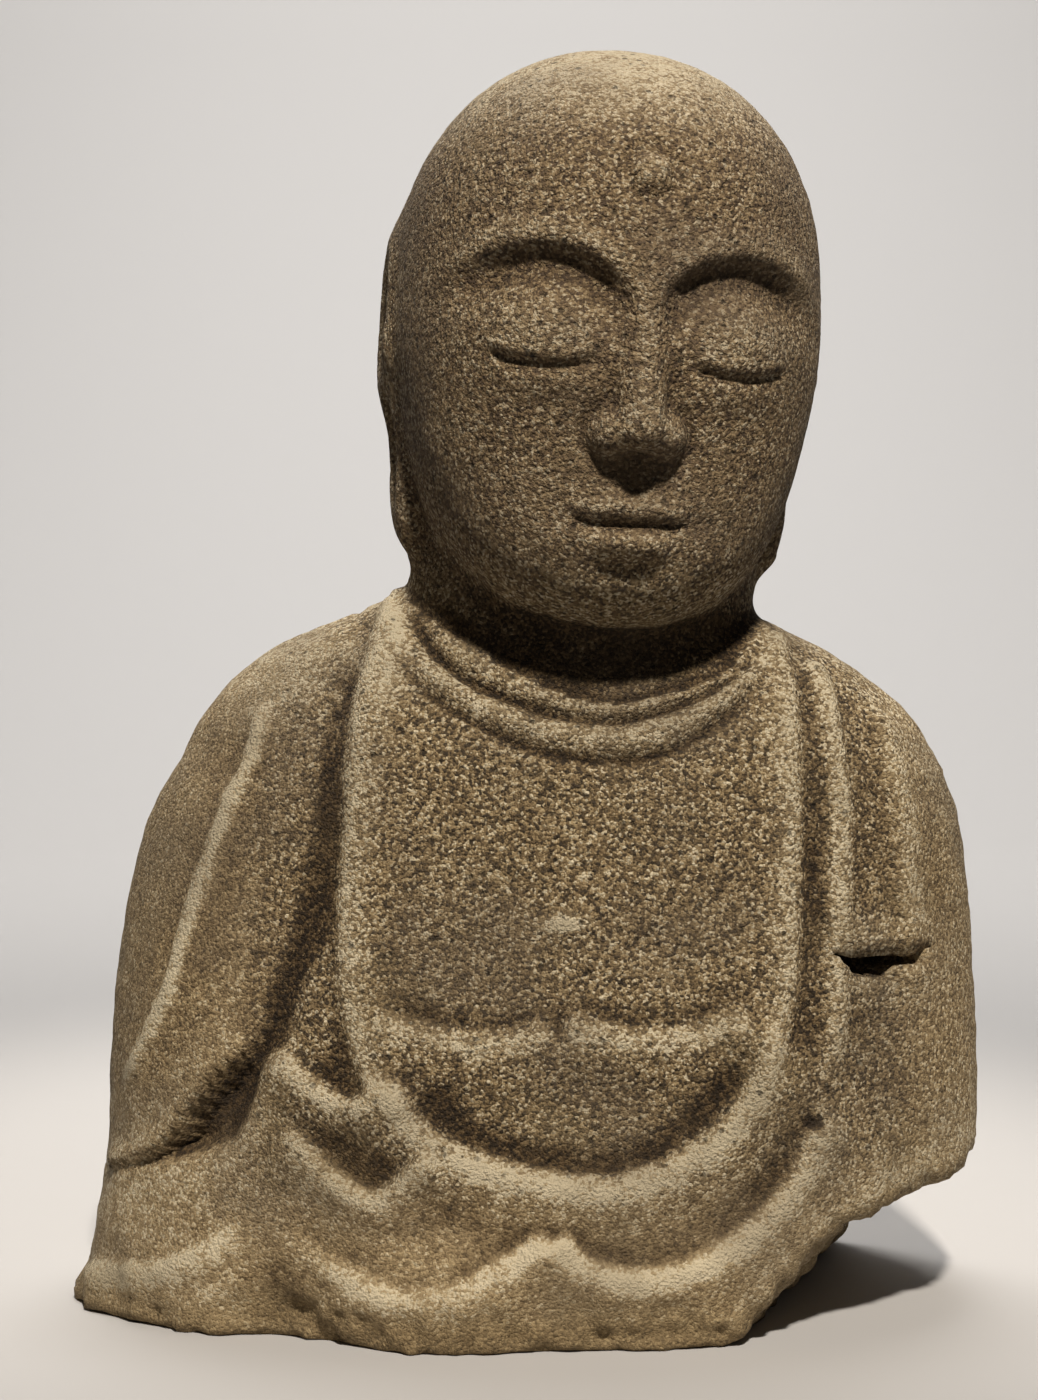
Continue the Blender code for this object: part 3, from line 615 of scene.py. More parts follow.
def right_shoulder_relief(points):
    """Narrow fold beside the bib and the flap that hangs over the right arm."""
    ridge = (
        (66, 157), (69, 151), (70, 142), (71, 132), (71.5, 121), (71, 110), (70.5, 95), (70, 80),
        (69, 66), (66, 54),
    )
    flap_edge = ((81, 147), (82.5, 138), (83.5, 130), (84.7, 120), (85.3, 109), (86, 98), (86.4, 89))
    flap_foot = ((86.2, 88.6), (82, 89), (77, 88.3), (71, 86.5))
    carved = fold(points, ridge, rise=2.1, widths=(1.9, 2.4), fades=(0.05, 0.2), wear_and_highlight=0.7)
    carved += fold(points, flap_edge, rise=2.6, widths=(8.0, 0.9), fades=(0.12, 0.0), wear_and_highlight=0.15)
    carved += fold(points, flap_foot, rise=2.4, widths=(0.9, 8.0), fades=(0.3, 0.2), wear_and_highlight=0.3)
    beside = on_body(((84, 143), (86.5, 130), (88.5, 116), (89.5, 100), (90.3, 88)))
    gap, _, share = along(points, beside)
    carved[:, 1] += 0.55 * swell(gap, 2.4) * ease(share, 0.0, 0.2) * ease(1.0 - share, 0.0, 0.2)
    pit = np.linalg.norm(points - body_point(PIT_PLACE), axis=1)
    carved[:, 0] -= 3.4 * swell(pit, 1.5)
    # The pit is also painted darker: painted shade inside it.
    carved[:, 1] -= 4.0 * swell(pit, 1.5)
    below = on_body(((78, 78), (80, 66), (83, 54), (88, 42)))
    gap, _, share = along(points, below)
    carved[:, 0] -= swell(gap, 9.0) * ease(share, 0.0, 0.15)
    return carved


def left_sleeve_relief(points):
    """Seam down the left sleeve, valley beside the chest and the hollow under the sleeve's hem."""
    seam = ((-68, 150), (-70, 136), (-76, 122), (-81, 107), (-85, 96), (-90, 78), (-97, 64), (-104, 51))
    valley = on_body(((-46, 163), (-50, 148), (-51, 131), (-53, 112), (-57, 94), (-62, 80), (-65, 70)))
    hem = on_body(((-62, 78), (-71, 67), (-78, 59), (-84, 51.5), (-89, 44.5), (-95.5, 39), (-106, 34)))
    lap = on_body(((-108, 32.5), (-92, 37), (-76, 42), (-70, 48), (-66.5, 57), (-63, 68), (-60, 80)))
    carved = fold(points, seam, rise=1.7, widths=(1.4, 2.0), fades=(0.1, 0.1), wear_and_highlight=1.6)
    gap, side, share = along(points, valley)
    depth = (1.5 + 1.6 * ease(share, 0.4, 1.0)) * ease(share, 0.0, 0.12)
    carved[:, 0] -= depth * swell(gap, np.where(side > 0, 6.0, 9.0))
    hem_gap, hem_side, share = along(points, hem)
    lap_gap, lap_side, _ = along(points, lap)
    under = ease(hem_gap * hem_side, -0.4, 2.0) * ease(lap_gap * lap_side, -1.0, 5.5)
    depth = 7.5 * ease(share, 0.0, 0.35) * (1.0 - 0.45 * ease(share, 0.7, 1.0))
    streaks = lattice_noise(np.stack([60.0 * share, hem_gap, 0.0 * share], axis=1), 3.0, 31)
    streaks = 1.1 * streaks * ease(1.0 - share, 0.0, 0.3)
    carved[:, 0] -= (depth + streaks) * under * swell(hem_gap, 17.0)
    carved[:, 0] += 1.3 * swell(hem_gap, 4.0) * (hem_side < 0) * ease(share, 0.0, 0.3)
    return carved


def back_relief(points):
    """Broad shallow folds that fall across the back from the left shoulder."""
    outlines = (
        ((-64, 148), (-42, 120), (0, 98), (45, 88), (90, 86)),
        ((-86, 118), (-52, 86), (-5, 66), (45, 57), (96, 56)),
        ((-98, 82), (-62, 53), (-12, 35), (40, 28), (84, 29)),
    )
    return sum(
        fold(points, outline, rise=2.2, widths=(2.8, 12.0), fades=(0.15, 0.2), wear_and_highlight=0.6, facing=1)
        for outline in outlines
    )


def eye_relief(side, z):
    """Arched brows that run down into the nose, over closed, gently rounded lids."""
    brow = 20.5 - 0.020 * (side - 24.0) ** 2
    below = brow - z
    span = ease(side, 1.0, 11.0) * ease(49.0 - side, 0.0, 15.0)
    ridge = 0.9 * swell(below + 2.0, 4.5) * span
    socket = 4.2 * ease(below, -1.4, 4.2) * swell(np.maximum(below - 4.2, 0.0), 7.0) * span
    inner = 1.4 * swell(side - 11.0, 5.5) * swell(z - 4.0, 10.0)
    lid = 3.0 * swell(side - 22.5, 12.5) * swell(z + 1.5, 8.5)
    lash = z + 8.0 - 2.6 * ((side - 22.5) / 12.5) ** 2
    eye_span = ease(13.5 - np.abs(side - 22.5), 0.0, 4.5)
    closed = 1.3 * swell(lash, 1.25) * eye_span
    lid_edge = 0.6 * swell(lash - 2.4, 1.6) * eye_span
    lower_lid = swell(z + 12.0, 3.6) * swell(side - 22.5, 11.0)
    return ridge + lid + lid_edge + lower_lid - socket - inner - closed


def mouth_relief(side, z):
    """Small closed mouth under a short groove, over a rounded chin."""
    bow = z + 39.6 - 0.5 * swell(side - 4.5, 3.0) + 0.10 * np.maximum(side - 5.0, 0.0)
    upper = 1.9 * swell(bow, 2.5) * ease(15.5 - side, 0.0, 9.0)
    lower = 2.3 * swell(z + 47.2, 3.2) * ease(13.0 - side, 0.0, 10.0)
    closed = 1.9 * swell(z + 43.4 - 0.006 * side ** 2, 1.3) * ease(16.5 - side, 0.0, 5.0)
    corner = 0.8 * swell(np.hypot(side - 16.2, z + 42.2), 2.6)
    groove = 0.9 * swell(z + 34.0, 3.4) * swell(side, 2.3)
    under = 1.4 * swell(z + 53.5, 2.8) * swell(side, 10.0)
    return upper + lower - closed - corner - groove - under


def face_relief(points):
    """Eyes, mouth, cheeks, nostril creases and the round mark between the brows."""
    x, y, z = in_head(*points.T)
    side = np.abs(x)
    cheek = swell(side - 25.0, 18.0) * swell(z + 26.0, 20.0) * ease(side, 0.0, 16.0)
    crease = swell(np.hypot(side - 5.5, z + 22.5) - 7.4, 1.3) * ease(side, 8.0, 11.0)
    mark = np.hypot(side, z - 38.0)
    boss = 1.8 * ease(5.2 - mark, 0.0, 3.2) - 0.9 * swell(mark - 6.4, 1.6)
    shown = ease(-y, 8.0, 30.0)
    return carving((eye_relief(side, z) + mouth_relief(side, z) + cheek + boss - crease) * shown)


def carved_rings():
    """The stone's rings with the cloth and the face carved into them, and how pale each point is from wear
    and painted highlight, less the painted shade of the pit.
    """
    rings, crown, base = stone_rings()
    flat = rings.reshape(-1, 3)
    carved = collar_relief(flat) + bib_relief(flat) + belly_relief(flat) + lap_relief(flat)
    carved += right_shoulder_relief(flat) + left_sleeve_relief(flat)
    carved += back_relief(flat) + face_relief(flat)
    carved *= (ease(flat[:, 2], 0.0, 5.0) * ease(flap_notch_form(*flat.T), -0.1, 0.7))[:, None]
    moved = flat + carved[:, :1] * outward(rings).reshape(-1, 3)
    moved[:, 2] = np.maximum(moved[:, 2], 0.0)
    base[:, 2] = 0.0
    return moved.reshape(rings.shape), crown[0], base[0], carved[:, 1].reshape(rings.shape[:2])


def lattice_noise(points, cell, seed):
    """Smooth noise from -1 to 1: random values on a cubic lattice, blended between its corners."""
    place = points / cell
    corner = np.floor(place).astype(np.int64)
    share = place - corner
    share = share * share * (3.0 - 2.0 * share)
    total = np.zeros(len(points))
    for step in range(8):
        offset = np.array((step & 1, (step >> 1) & 1, (step >> 2) & 1))
        across, deep, up = ((corner + offset) * PLACE_KEYS).T
        mixed = across ^ deep ^ up ^ seed * SEED_KEY
        mixed = (mixed ^ (mixed >> 13)) * MIXING_KEY
        value = ((mixed ^ (mixed >> 16)) & 65535) / 32767.5 - 1.0
        weight = np.prod(np.where(offset, share, 1.0 - share), axis=1)
        total += value * weight
    return total


def smoothed(rings, rounds):
    """Each point drawn to the middle of its four neighbours, again and again."""
    soft = rings.copy()
    for _ in range(rounds):
        around = (np.roll(soft, 1, axis=1) + np.roll(soft, -1, axis=1)) / 2
        soft[1:-1] = (around[1:-1] + (soft[2:] + soft[:-2]) / 2) / 2
    return soft


def stand_out(rings, rounds):
    """How far each point stands out (+) of, or lies behind (-), its smoothed self along the normal."""
    return np.sum((rings - smoothed(rings, rounds)) * outward(rings), axis=2)


def weathered(rings, roughness):
    """Each point moved along its normal by noise: tooling all over, and fracture where it is broken."""
    flat = rings.reshape(-1, 3)
    normal = outward(rings).reshape(-1, 3)
    head = ease(flat[:, 2], 168.0, 186.0)
    relief = np.zeros(len(flat))
    for size, seed, on_cloth, on_head in TOOLING:
        relief += (on_cloth + (on_head - on_cloth) * head) * lattice_noise(flat, size, seed)
    broken = broken_share(flat)
    for size, seed, rise in FRACTURE:
        relief += broken * rise * lattice_noise(flat, size, seed)
    shift = roughness * relief[:, None] * normal
    shift[:, 2] *= ease(flat[:, 2], 0.0, 1.5)
    moved = flat + shift
    moved[:, 2] = np.maximum(moved[:, 2], 0.0)
    return moved.reshape(rings.shape)


def broken_share(points):
    """1 on the broken foot and the lost corner, 0 on carved stone."""
    x, y, z = points.T
    edge = 9.0 + 4.0 * lattice_noise(points, 14.0, 23)
    foot = ease(edge - z, -4.0, 3.0)
    corner = ease(5.0 - lost_corner_form(x, y, z), 0.0, 4.0)
    patch = 0.8 * swell(np.linalg.norm(points - body_point(ROUGH_PLACE), axis=1), 8.0)
    return np.clip(foot + corner + patch, 0.0, 1.0)


def calm_share(rings):
    """Where the grain is rubbed and dusty: low on the lap, and on the outer sides of the arms."""
    across, height = rings[..., 0], rings[..., 2]
    lap = 0.9 * fall(height, 22.0, 52.0)
    arms = np.where(across < 0, 0.75 * ease(-across, 56.0, 78.0), 0.6 * ease(across, 74.0, 96.0))
    return np.maximum(lap, arms) * fall(height, 166.0, 182.0)


def wear_and_highlight_share(rings, rubbed, calm):
    """How pale the stone is: wear on the rubbed lines, plus wear and painted highlight on what stands out
    of its surroundings and faces up.

    Painted light adds to it low on the lap, on the tops of the shoulders and on the crown; the broken foot
    takes from it.
    """
    across, height = rings[..., 0], rings[..., 2]
    # Paler where it stands out, kept only where it faces up: wear with painted highlight from the light
    # above.
    facing_up = ease(outward(rings)[..., 2], -0.3, 0.1)
    edges = 0.4 * ease(stand_out(rings, 40), 0.25, 1.2) * facing_up
    # Paler low on the lap: painted light, brightening the lower folds where the lamp's light falls off.
    lap = 0.38 * fall(height, 30.0, 62.0)
    arms = 0.10 * calm * ease(height, 30.0, 70.0)
    # Paler crown: painted highlight from the light overhead.
    crown = 1.3 * ease(height, 276.0, 303.0)
    foot = 0.5 * fall(height, 3.0, 10.0)
    # Paler tops of the shoulders, more on the left: painted light from above.
    shoulders = ease(height, 136.0, 160.0) * fall(height, 172.0, 184.0)
    shoulders = shoulders * (0.1 + 0.4 * ease(-across, 20.0, 50.0))
    return rubbed + edges + lap - arms + crown - foot + shoulders


def painted_shade_share(rings, head):
    """How much painted shade darkens the stone: how far it is behind its surroundings, wide and near.

    Less of it shows on the head, low on the lap and beside the right arm.
    """
    across, height = rings[..., 0], rings[..., 2]
    # Darker where it lies behind its surroundings: painted shade in the recesses.
    hollow = ease(-stand_out(rings, 70), 0.12, 1.3) + 0.6 * ease(-stand_out(rings, 20), 0.05, 0.5)
    hollow = hollow * (1.0 - 0.6 * head) * (1.0 - 0.45 * fall(height, 20.0, 45.0))
    return hollow * (1.0 - 0.45 * ease(across, 72.0, 78.0))


def surface_masks(rings, rubbed):
    """Masks for the stone's material, each with one value a point; coarse is 1 on the head."""
    calm = calm_share(rings)
    coarse = ease(rings[..., 2], 165.0, 190.0)
    return {
        # Wear and painted highlight.
        "wear_and_highlight": wear_and_highlight_share(rings, rubbed, calm),
        # Painted shade in the recesses.
        "hollow": painted_shade_share(rings, coarse),
        "broken": broken_share(rings.reshape(-1, 3)).reshape(coarse.shape),
        "coarse": coarse,
        "calm": calm,
    }


def grid_mesh(name, rings, crown, base):
    """Closed mesh of the rings, with a fan of triangles at the crown and one at the base."""
    count, columns = rings.shape[:2]
    places = np.concatenate([crown[None], rings.reshape(-1, 3), base[None]])
    index = 1 + np.arange(count * columns).reshape(count, columns)
    after = np.roll(index, -1, axis=1)
    quads = np.stack([index[:-1], index[1:], after[1:], after[:-1]], axis=-1).reshape(-1, 4)
    top = np.stack([np.zeros(columns, int), index[0], after[0]], axis=-1)
    foot = np.stack([np.full(columns, len(places) - 1), after[-1], index[-1]], axis=-1)
    corners = np.concatenate([quads.ravel(), top.ravel(), foot.ravel()])
    sizes = np.concatenate([np.full(len(quads), 4), np.full(2 * columns, 3)])
    mesh = bpy.data.meshes.new(name)
    mesh.vertices.add(len(places))
    mesh.vertices.foreach_set("co", places.ravel())
    mesh.loops.add(len(corners))
    mesh.loops.foreach_set("vertex_index", corners)
    mesh.polygons.add(len(sizes))
    mesh.polygons.foreach_set("loop_start", np.concatenate([[0], np.cumsum(sizes)[:-1]]))
    mesh.polygons.foreach_set("use_smooth", np.ones(len(sizes), bool))
    mesh.update(calc_edges=True)
    mesh.validate()
    return mesh


def fit_to_box(points, low, high):
    """Bring the drawn form to a box: each of its sides is stretched evenly to the box's side."""
    drawn_low, drawn_high = points.min(axis=0), points.max(axis=0)
    return low + (points - drawn_low) * (high - low) / (drawn_high - drawn_low)


def add_attribute(mesh, name, rings):
    """One value for each vertex; the crown and the base take the mean of the ring beside them."""
    values = np.concatenate([[rings[0].mean()], rings.ravel(), [rings[-1].mean()]]).astype(np.float32)
    layer = mesh.attributes.new(name, "FLOAT", "POINT")
    layer.data.foreach_set("value", values)


def new_group(name, inputs, outputs):
    """Empty shader node group with named sockets."""
    group = bpy.data.node_groups.new(name, "ShaderNodeTree")
    for label, kind, default in inputs:
        socket = group.interface.new_socket(label, in_out="INPUT", socket_type=kind)
        if default is not None:
            socket.default_value = default
    for label, kind in outputs:
        group.interface.new_socket(label, in_out="OUTPUT", socket_type=kind)
    return group, Wiring(group)


class Wiring:
    """Short hand for adding and linking nodes in one tree."""

    def __init__(self, tree):
        self.tree = tree

    def node(self, kind, inputs=(), **settings):
        """New node with its settings and inputs."""
        node = self.tree.nodes.new(kind)
        for key, value in settings.items():
            setattr(node, key, value)
        for key, value in dict(inputs).items():
            self.feed(node.inputs[key], value)
        return node

    def feed(self, socket, value):
        """A link where the value is another node's output, or else a plain value."""
        if isinstance(value, bpy.types.NodeSocket):
            self.tree.links.new(value, socket)
        else:
            socket.default_value = value

    def math(self, operation, first, second=0.0, third=0.0, clamp=False):
        """One step of arithmetic on two or three values."""
        node = self.node("ShaderNodeMath", operation=operation, use_clamp=clamp)
        for socket, value in zip(node.inputs, (first, second, third)):
            self.feed(socket, value)
        return node.outputs[0]

    def without(self, share, strength=1.0):
        """1 less share times strength."""
        return self.math("SUBTRACT", 1.0, self.math("MULTIPLY", share, strength))

    def span(self, value, low, high, new_low=0.0, new_high=1.0):
        """Smooth step from new_low at low to new_high at high."""
        node = self.node("ShaderNodeMapRange", interpolation_type="SMOOTHSTEP")
        names = ("Value", "From Min", "From Max", "To Min", "To Max")
        for key, item in zip(names, (value, low, high, new_low, new_high)):
            self.feed(node.inputs[key], item)
        return node.outputs["Result"]

    def noise(self, vector, size, detail=2.0, roughness=0.55):
        """Noise whose patches are about the given size, in metres."""
        inputs = {"Vector": vector, "Scale": 1.0 / size, "Detail": detail, "Roughness": roughness}
        return self.node("ShaderNodeTexNoise", inputs).outputs["Fac"]

    def cells(self, vector, size):
        """Cells of the given size, in metres: three random values for each, and how far its middle is."""
        node = self.node("ShaderNodeTexVoronoi", {"Vector": vector, "Scale": 1.0 / size})
        split = self.node("ShaderNodeSeparateColor", {"Color": node.outputs["Color"]})
        return split.outputs, node.outputs["Distance"]

    def mix(self, share, first, second, blend="MIX"):
        """First at share 0, second at share 1."""
        node = self.node("ShaderNodeMix", data_type="RGBA", blend_type=blend)
        for place, value in ((0, share), (6, first), (7, second)):
            self.feed(node.inputs[place], value)
        return node.outputs[2]

    def attribute(self, name):
        """The mesh's mask of that name."""
        return self.node("ShaderNodeAttribute", attribute_name=name).outputs["Fac"]


def grain_group():
    """Grains about a millimetre across: their brightness, and a height with dark gaps between them."""
    group, wire = new_group(
        "stone_grain",
        (
            ("Vector", "NodeSocketVector", None),
            ("Coarse", "NodeSocketFloat", 0.0),
            ("Calm", "NodeSocketFloat", 0.0),
        ),
        (("Brightness", "NodeSocketFloat"), ("Pits", "NodeSocketFloat"), ("Height", "NodeSocketFloat")),
    )
    start = wire.node("NodeGroupInput")
    vector, coarse, calm = (start.outputs[label] for label in ("Vector", "Coarse", "Calm"))
    (tone, _, _), from_middle = wire.cells(vector, GRAIN_SIZE)
    sand = wire.span(wire.noise(vector, 1.2 * GRAIN_SIZE, 3.0, 0.7), 0.38, 0.62)
    clumps = wire.span(wire.noise(vector, 4.0 * GRAIN_SIZE, 3.0, 0.6), 0.28, 0.72)
    bright = wire.math("MULTIPLY_ADD", tone, 0.66, wire.math("MULTIPLY", sand, 0.22))
    bright = wire.math("MULTIPLY_ADD", clumps, 0.12, bright)
    (_, rare, _), from_hole = wire.cells(vector, PIT_SPACING)
    radius = wire.span(rare, 0.35, 1.0, 0.01, 0.30)
    ragged = wire.math("MULTIPLY_ADD", wire.noise(vector, 0.9 * GRAIN_SIZE), 0.6, from_hole)
    ragged = wire.math("SUBTRACT", ragged, 0.30)
    pits = wire.without(wire.span(wire.math("DIVIDE", ragged, radius), 0.3, 1.2))
    pits = wire.math("MULTIPLY", pits, wire.without(calm, 0.8))
    round_top = wire.without(from_middle)
    fine = wire.noise(vector, 1.1 * GRAIN_SIZE, 3.0, 0.65)
    broad = wire.noise(vector, 2.0 * GRAIN_SIZE, 3.0, 0.6)
    low = wire.math("MULTIPLY_ADD", fine, 0.9, wire.math("MULTIPLY", round_top, 0.35))
    high = wire.math("MULTIPLY_ADD", broad, 1.3, wire.math("MULTIPLY", round_top, 0.25))
    height = wire.math("MULTIPLY_ADD", coarse, wire.math("SUBTRACT", high, low), low)
    height = wire.math("SUBTRACT", height, wire.math("MULTIPLY", pits, 0.4))
    bright = wire.math("MULTIPLY_ADD", wire.math("SUBTRACT", bright, 0.5), wire.without(calm, 0.55), 0.5)
    height = wire.math("MULTIPLY", height, wire.without(calm, 0.45))
    wire.node("NodeGroupOutput", {"Brightness": bright, "Pits": pits, "Height": height})
    return group


def weather_group():
    """Pale edges from wear and painted highlight, painted shade in the hollows, and broad patches of unlike
    tone.
    """
    group, wire = new_group(
        "stone_weather",
        (
            ("Vector", "NodeSocketVector", None),
            ("Stand Out", "NodeSocketFloat", 0.0),
            ("Hollow", "NodeSocketFloat", 0.0),
        ),
        (
            ("Wear And Highlight", "NodeSocketFloat"),
            ("Painted Shade", "NodeSocketFloat"),
            ("Grey", "NodeSocketFloat"),
            ("Ochre", "NodeSocketFloat"),
        ),
    )
    start = wire.node("NodeGroupInput")
    vector = start.outputs["Vector"]
    broken_up = wire.noise(vector, 0.006, 3.0, 0.65)
    # Paler edges, broken up: wear with painted highlight.
    wear_and_highlight = wire.math("MULTIPLY", start.outputs["Stand Out"], wire.span(broken_up, 0.25, 0.7, 0.45, 1.25))
    # Painted shade in the hollows, broken up.
    painted_shade = wire.math("MULTIPLY", start.outputs["Hollow"], wire.span(broken_up, 0.3, 0.75, 1.2, 0.6))
    grey = wire.span(wire.noise(vector, 0.045, 3.0, 0.55), 0.45, 0.68)
    ochre = wire.span(wire.noise(vector, 0.030, 2.0, 0.6), 0.50, 0.72)
    wire.node("NodeGroupOutput", {"Wear And Highlight": wear_and_highlight, "Painted Shade": painted_shade, "Grey": grey, "Ochre": ochre})
    return group


def stone_material(finish):
    """Dull granular brown stone: grain for its colour and bump, weather over it, with painted highlights
    and painted shade.
    """
    material = bpy.data.materials.new("weathered_stone")
    material.use_nodes = True
    tree = material.node_tree
    tree.nodes.clear()
    wire = Wiring(tree)
    place = wire.node("ShaderNodeTexCoord").outputs["Object"]
    # The first mask is wear and painted highlight; hollow is painted shade in the recesses.
    masks = ("wear_and_highlight", "hollow", "broken", "coarse", "calm")
    wear_and_highlight, hollow, broken, coarse, calm = (wire.attribute(name) for name in masks)
    grain = wire.node("ShaderNodeGroup", node_tree=grain_group())
    for label, value in (("Vector", place), ("Coarse", coarse), ("Calm", calm)):
        wire.feed(grain.inputs[label], value)
    weather = wire.node("ShaderNodeGroup", node_tree=weather_group())
    for label, value in (("Vector", place), ("Stand Out", wear_and_highlight), ("Hollow", hollow)):
        wire.feed(weather.inputs[label], value)
    ramp = wire.node("ShaderNodeValToRGB")
    bright = grain.outputs["Brightness"]
    # Grains made paler by wear and painted highlight, and darker by painted shade.
    lighter = wire.math("MULTIPLY_ADD", weather.outputs["Wear And Highlight"], finish.wear_and_highlight_lift, bright)
    lighter = wire.math("MULTIPLY_ADD", weather.outputs["Painted Shade"], -0.12, lighter)
    wire.feed(ramp.inputs["Fac"], lighter)
    stops = (
        (0.22, finish.dark_grain), (0.47, finish.stone), (0.70, finish.light_grain),
        (0.86, finish.quartz),
    )
    ramp.color_ramp.elements[1].position = 1.0
    for _ in range(len(stops) - 2):
        ramp.color_ramp.elements.new(0.5)
    for element, (position, colour) in zip(ramp.color_ramp.elements, stops):
        element.position = position
        element.color = (*colour, 1.0)
    colour = ramp.outputs["Color"]
    for share, strength, tone in (
        (weather.outputs["Grey"], 0.45, finish.grey),
        (weather.outputs["Ochre"], 0.28, finish.ochre),
        # Darker head: partly the stone's own tone, partly painted shade on the face, which turns away from
        # the light above.
        (coarse, 0.38, finish.head),
        # Pale tone of wear and painted highlight.
        (weather.outputs["Wear And Highlight"], 0.22, finish.wear_and_highlight),
    ):
        colour = wire.mix(wire.math("MULTIPLY", share, strength, clamp=True), colour, (*tone, 1.0))
    # Painted shade: the hollows multiplied darker.
    dark = wire.mix(1.0, colour, (*finish.painted_shade, 1.0), "MULTIPLY")
    colour = wire.mix(wire.math("MULTIPLY", weather.outputs["Painted Shade"], 0.75, clamp=True), colour, dark)
    # The pits' insides are coloured near black: painted shade in the holes.
    for share, strength, tone in ((broken, 0.35, finish.ochre), (grain.outputs["Pits"], 0.70, finish.pit)):
        colour = wire.mix(wire.math("MULTIPLY", share, strength), colour, (*tone, 1.0))
    bump = wire.node(
        "ShaderNodeBump",
        {"Strength": finish.grain_depth, "Distance": 0.0017, "Height": grain.outputs["Height"]},
    )
    shader = wire.node("ShaderNodeBsdfPrincipled", {"Base Color": colour, "Normal": bump.outputs["Normal"]})
    wire.feed(shader.inputs["Roughness"], wire.span(grain.outputs["Brightness"], 0.0, 1.0, 0.97, 0.82))
    shader.inputs["Metallic"].default_value = 0.0
    shader.inputs["Specular IOR Level"].default_value = 0.25
    end = wire.node("ShaderNodeOutputMaterial")
    wire.feed(end.inputs["Surface"], shader.outputs["BSDF"])
    return material


def colour_setting(name, description, default):
    """Colour that a user can change."""
    return bpy.props.FloatVectorProperty(
        name=name, description=description, size=3, subtype="COLOR", min=0.0, max=1.0, default=default
    )


def place_setting(name, description, default):
    """Place, in metres, that a user can change."""
    return bpy.props.FloatVectorProperty(
        name=name, description=description, size=3, subtype="XYZ", unit="LENGTH", default=default
    )


def power_setting(name, description, default):
    """Light power, in watts, that a user can change."""
    return bpy.props.FloatProperty(name=name, description=description, default=default, unit="POWER")


class StoneForm(bpy.types.PropertyGroup):
    """Sizes of the carved surface."""

    low: place_setting("Lowest corner", "Lowest corner of the stone", NODE_BOX[0])
    high: place_setting("Highest corner", "Highest corner of the stone", NODE_BOX[1])
    roughness: bpy.props.FloatProperty(
        name="Weathering", description="How uneven the carved surface has become", default=1.0,
        min=0.0, max=3.0,
    )


class StoneFinish(bpy.types.PropertyGroup):
    """Colours and grain of the stone."""

    stone: colour_setting("Stone", "Ground colour", (0.194, 0.131, 0.064))
    dark_grain: colour_setting("Dark grain", "Darkest grains", (0.055, 0.040, 0.025))
    light_grain: colour_setting("Light grain", "Pale grains", (0.390, 0.287, 0.151))
    quartz: colour_setting("Quartz", "Brightest grains", (0.680, 0.580, 0.400))
    grey: colour_setting("Grey", "Tone of the greyer patches", (0.118, 0.089, 0.059))
    ochre: colour_setting("Ochre", "Tone of the yellower patches", (0.215, 0.158, 0.080))
    # Partly the head's own tone, partly painted shade on the face.
    head: colour_setting("Head", "Darker tone of the head", (0.105, 0.067, 0.041))
    # Tone of rubbed ridges and of the painted highlights on up-facing edges, the crown and the shoulders.
    wear_and_highlight: colour_setting("Wear And Highlight", "Tone of rubbed ridges", (0.420, 0.350, 0.230))
    # Painted shade that darkens the hollows.
    painted_shade: colour_setting("Painted Shade", "What darkens the hollows, by multiplying", (0.42, 0.38, 0.34))
    # Near black: painted shade inside the pits.
    pit: colour_setting("Pit", "Inside of the pits", (0.020, 0.015, 0.010))
    # How much paler grains are painted for wear and for highlight.
    wear_and_highlight_lift: bpy.props.FloatProperty(
        name="Worn lift", description="How much paler rubbed grains are", default=0.30, min=0.0, max=1.0
    )
    grain_depth: bpy.props.FloatProperty(
        name="Grain depth", description="Strength of the grain's bump", default=1.0, min=0.0, max=1.0,
        subtype="FACTOR",
    )


class StudioStage(bpy.types.PropertyGroup):
    """Floor, light and camera."""

    floor: colour_setting("Floor", "Floor colour", (0.46, 0.445, 0.43))
    key: power_setting("Key light", "Power of the light overhead", 218.0)
    fill: power_setting("Fill light", "Power of the light in front", 0.35)
    back: power_setting("Back light", "Power of the light behind", 5.0)
    wall: power_setting("Wall light", "Power of the light on the backdrop", 52.0)
    room: bpy.props.FloatProperty(
        name="Room light", description="Strength of the light all round", default=0.030
    )
    lens: bpy.props.FloatProperty(name="Lens", description="Focal length", default=68.4, unit="CAMERA")
    camera_place: place_setting("Camera place", "Where the camera stands", (-0.0053, -0.670, 0.167))
    camera_dip: bpy.props.FloatProperty(
        name="Camera dip", description="How far the camera looks down", subtype="ANGLE",
        default=math.radians(1.72),
    )


class FIGURE_OT_stone(bpy.types.Operator):
    """Carve the figure's surface and give it its stone"""

    bl_idname = "figure.stone"
    bl_label = "Carved stone"

    def execute(self, context):
        form = context.scene.figure_form
        rings, crown, base, rubbed = carved_rings()
        masks = surface_masks(rings, rubbed)
        rings = weathered(rings, form.roughness)
        places = np.concatenate([crown[None], rings.reshape(-1, 3), base[None]])
        fitted = fit_to_box(places, np.array(form.low), np.array(form.high))
        mesh = grid_mesh("carved_stone", fitted[1:-1].reshape(rings.shape), fitted[0], fitted[-1])
        for name, values in masks.items():
            add_attribute(mesh, name, values)
        mesh.materials.append(stone_material(context.scene.stone_finish))
        piece = bpy.data.objects.new("carved_stone", mesh)
        context.scene.collection.objects.link(piece)
        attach(piece, "root")
        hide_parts(STONE_NODE)
        return {"FINISHED"}


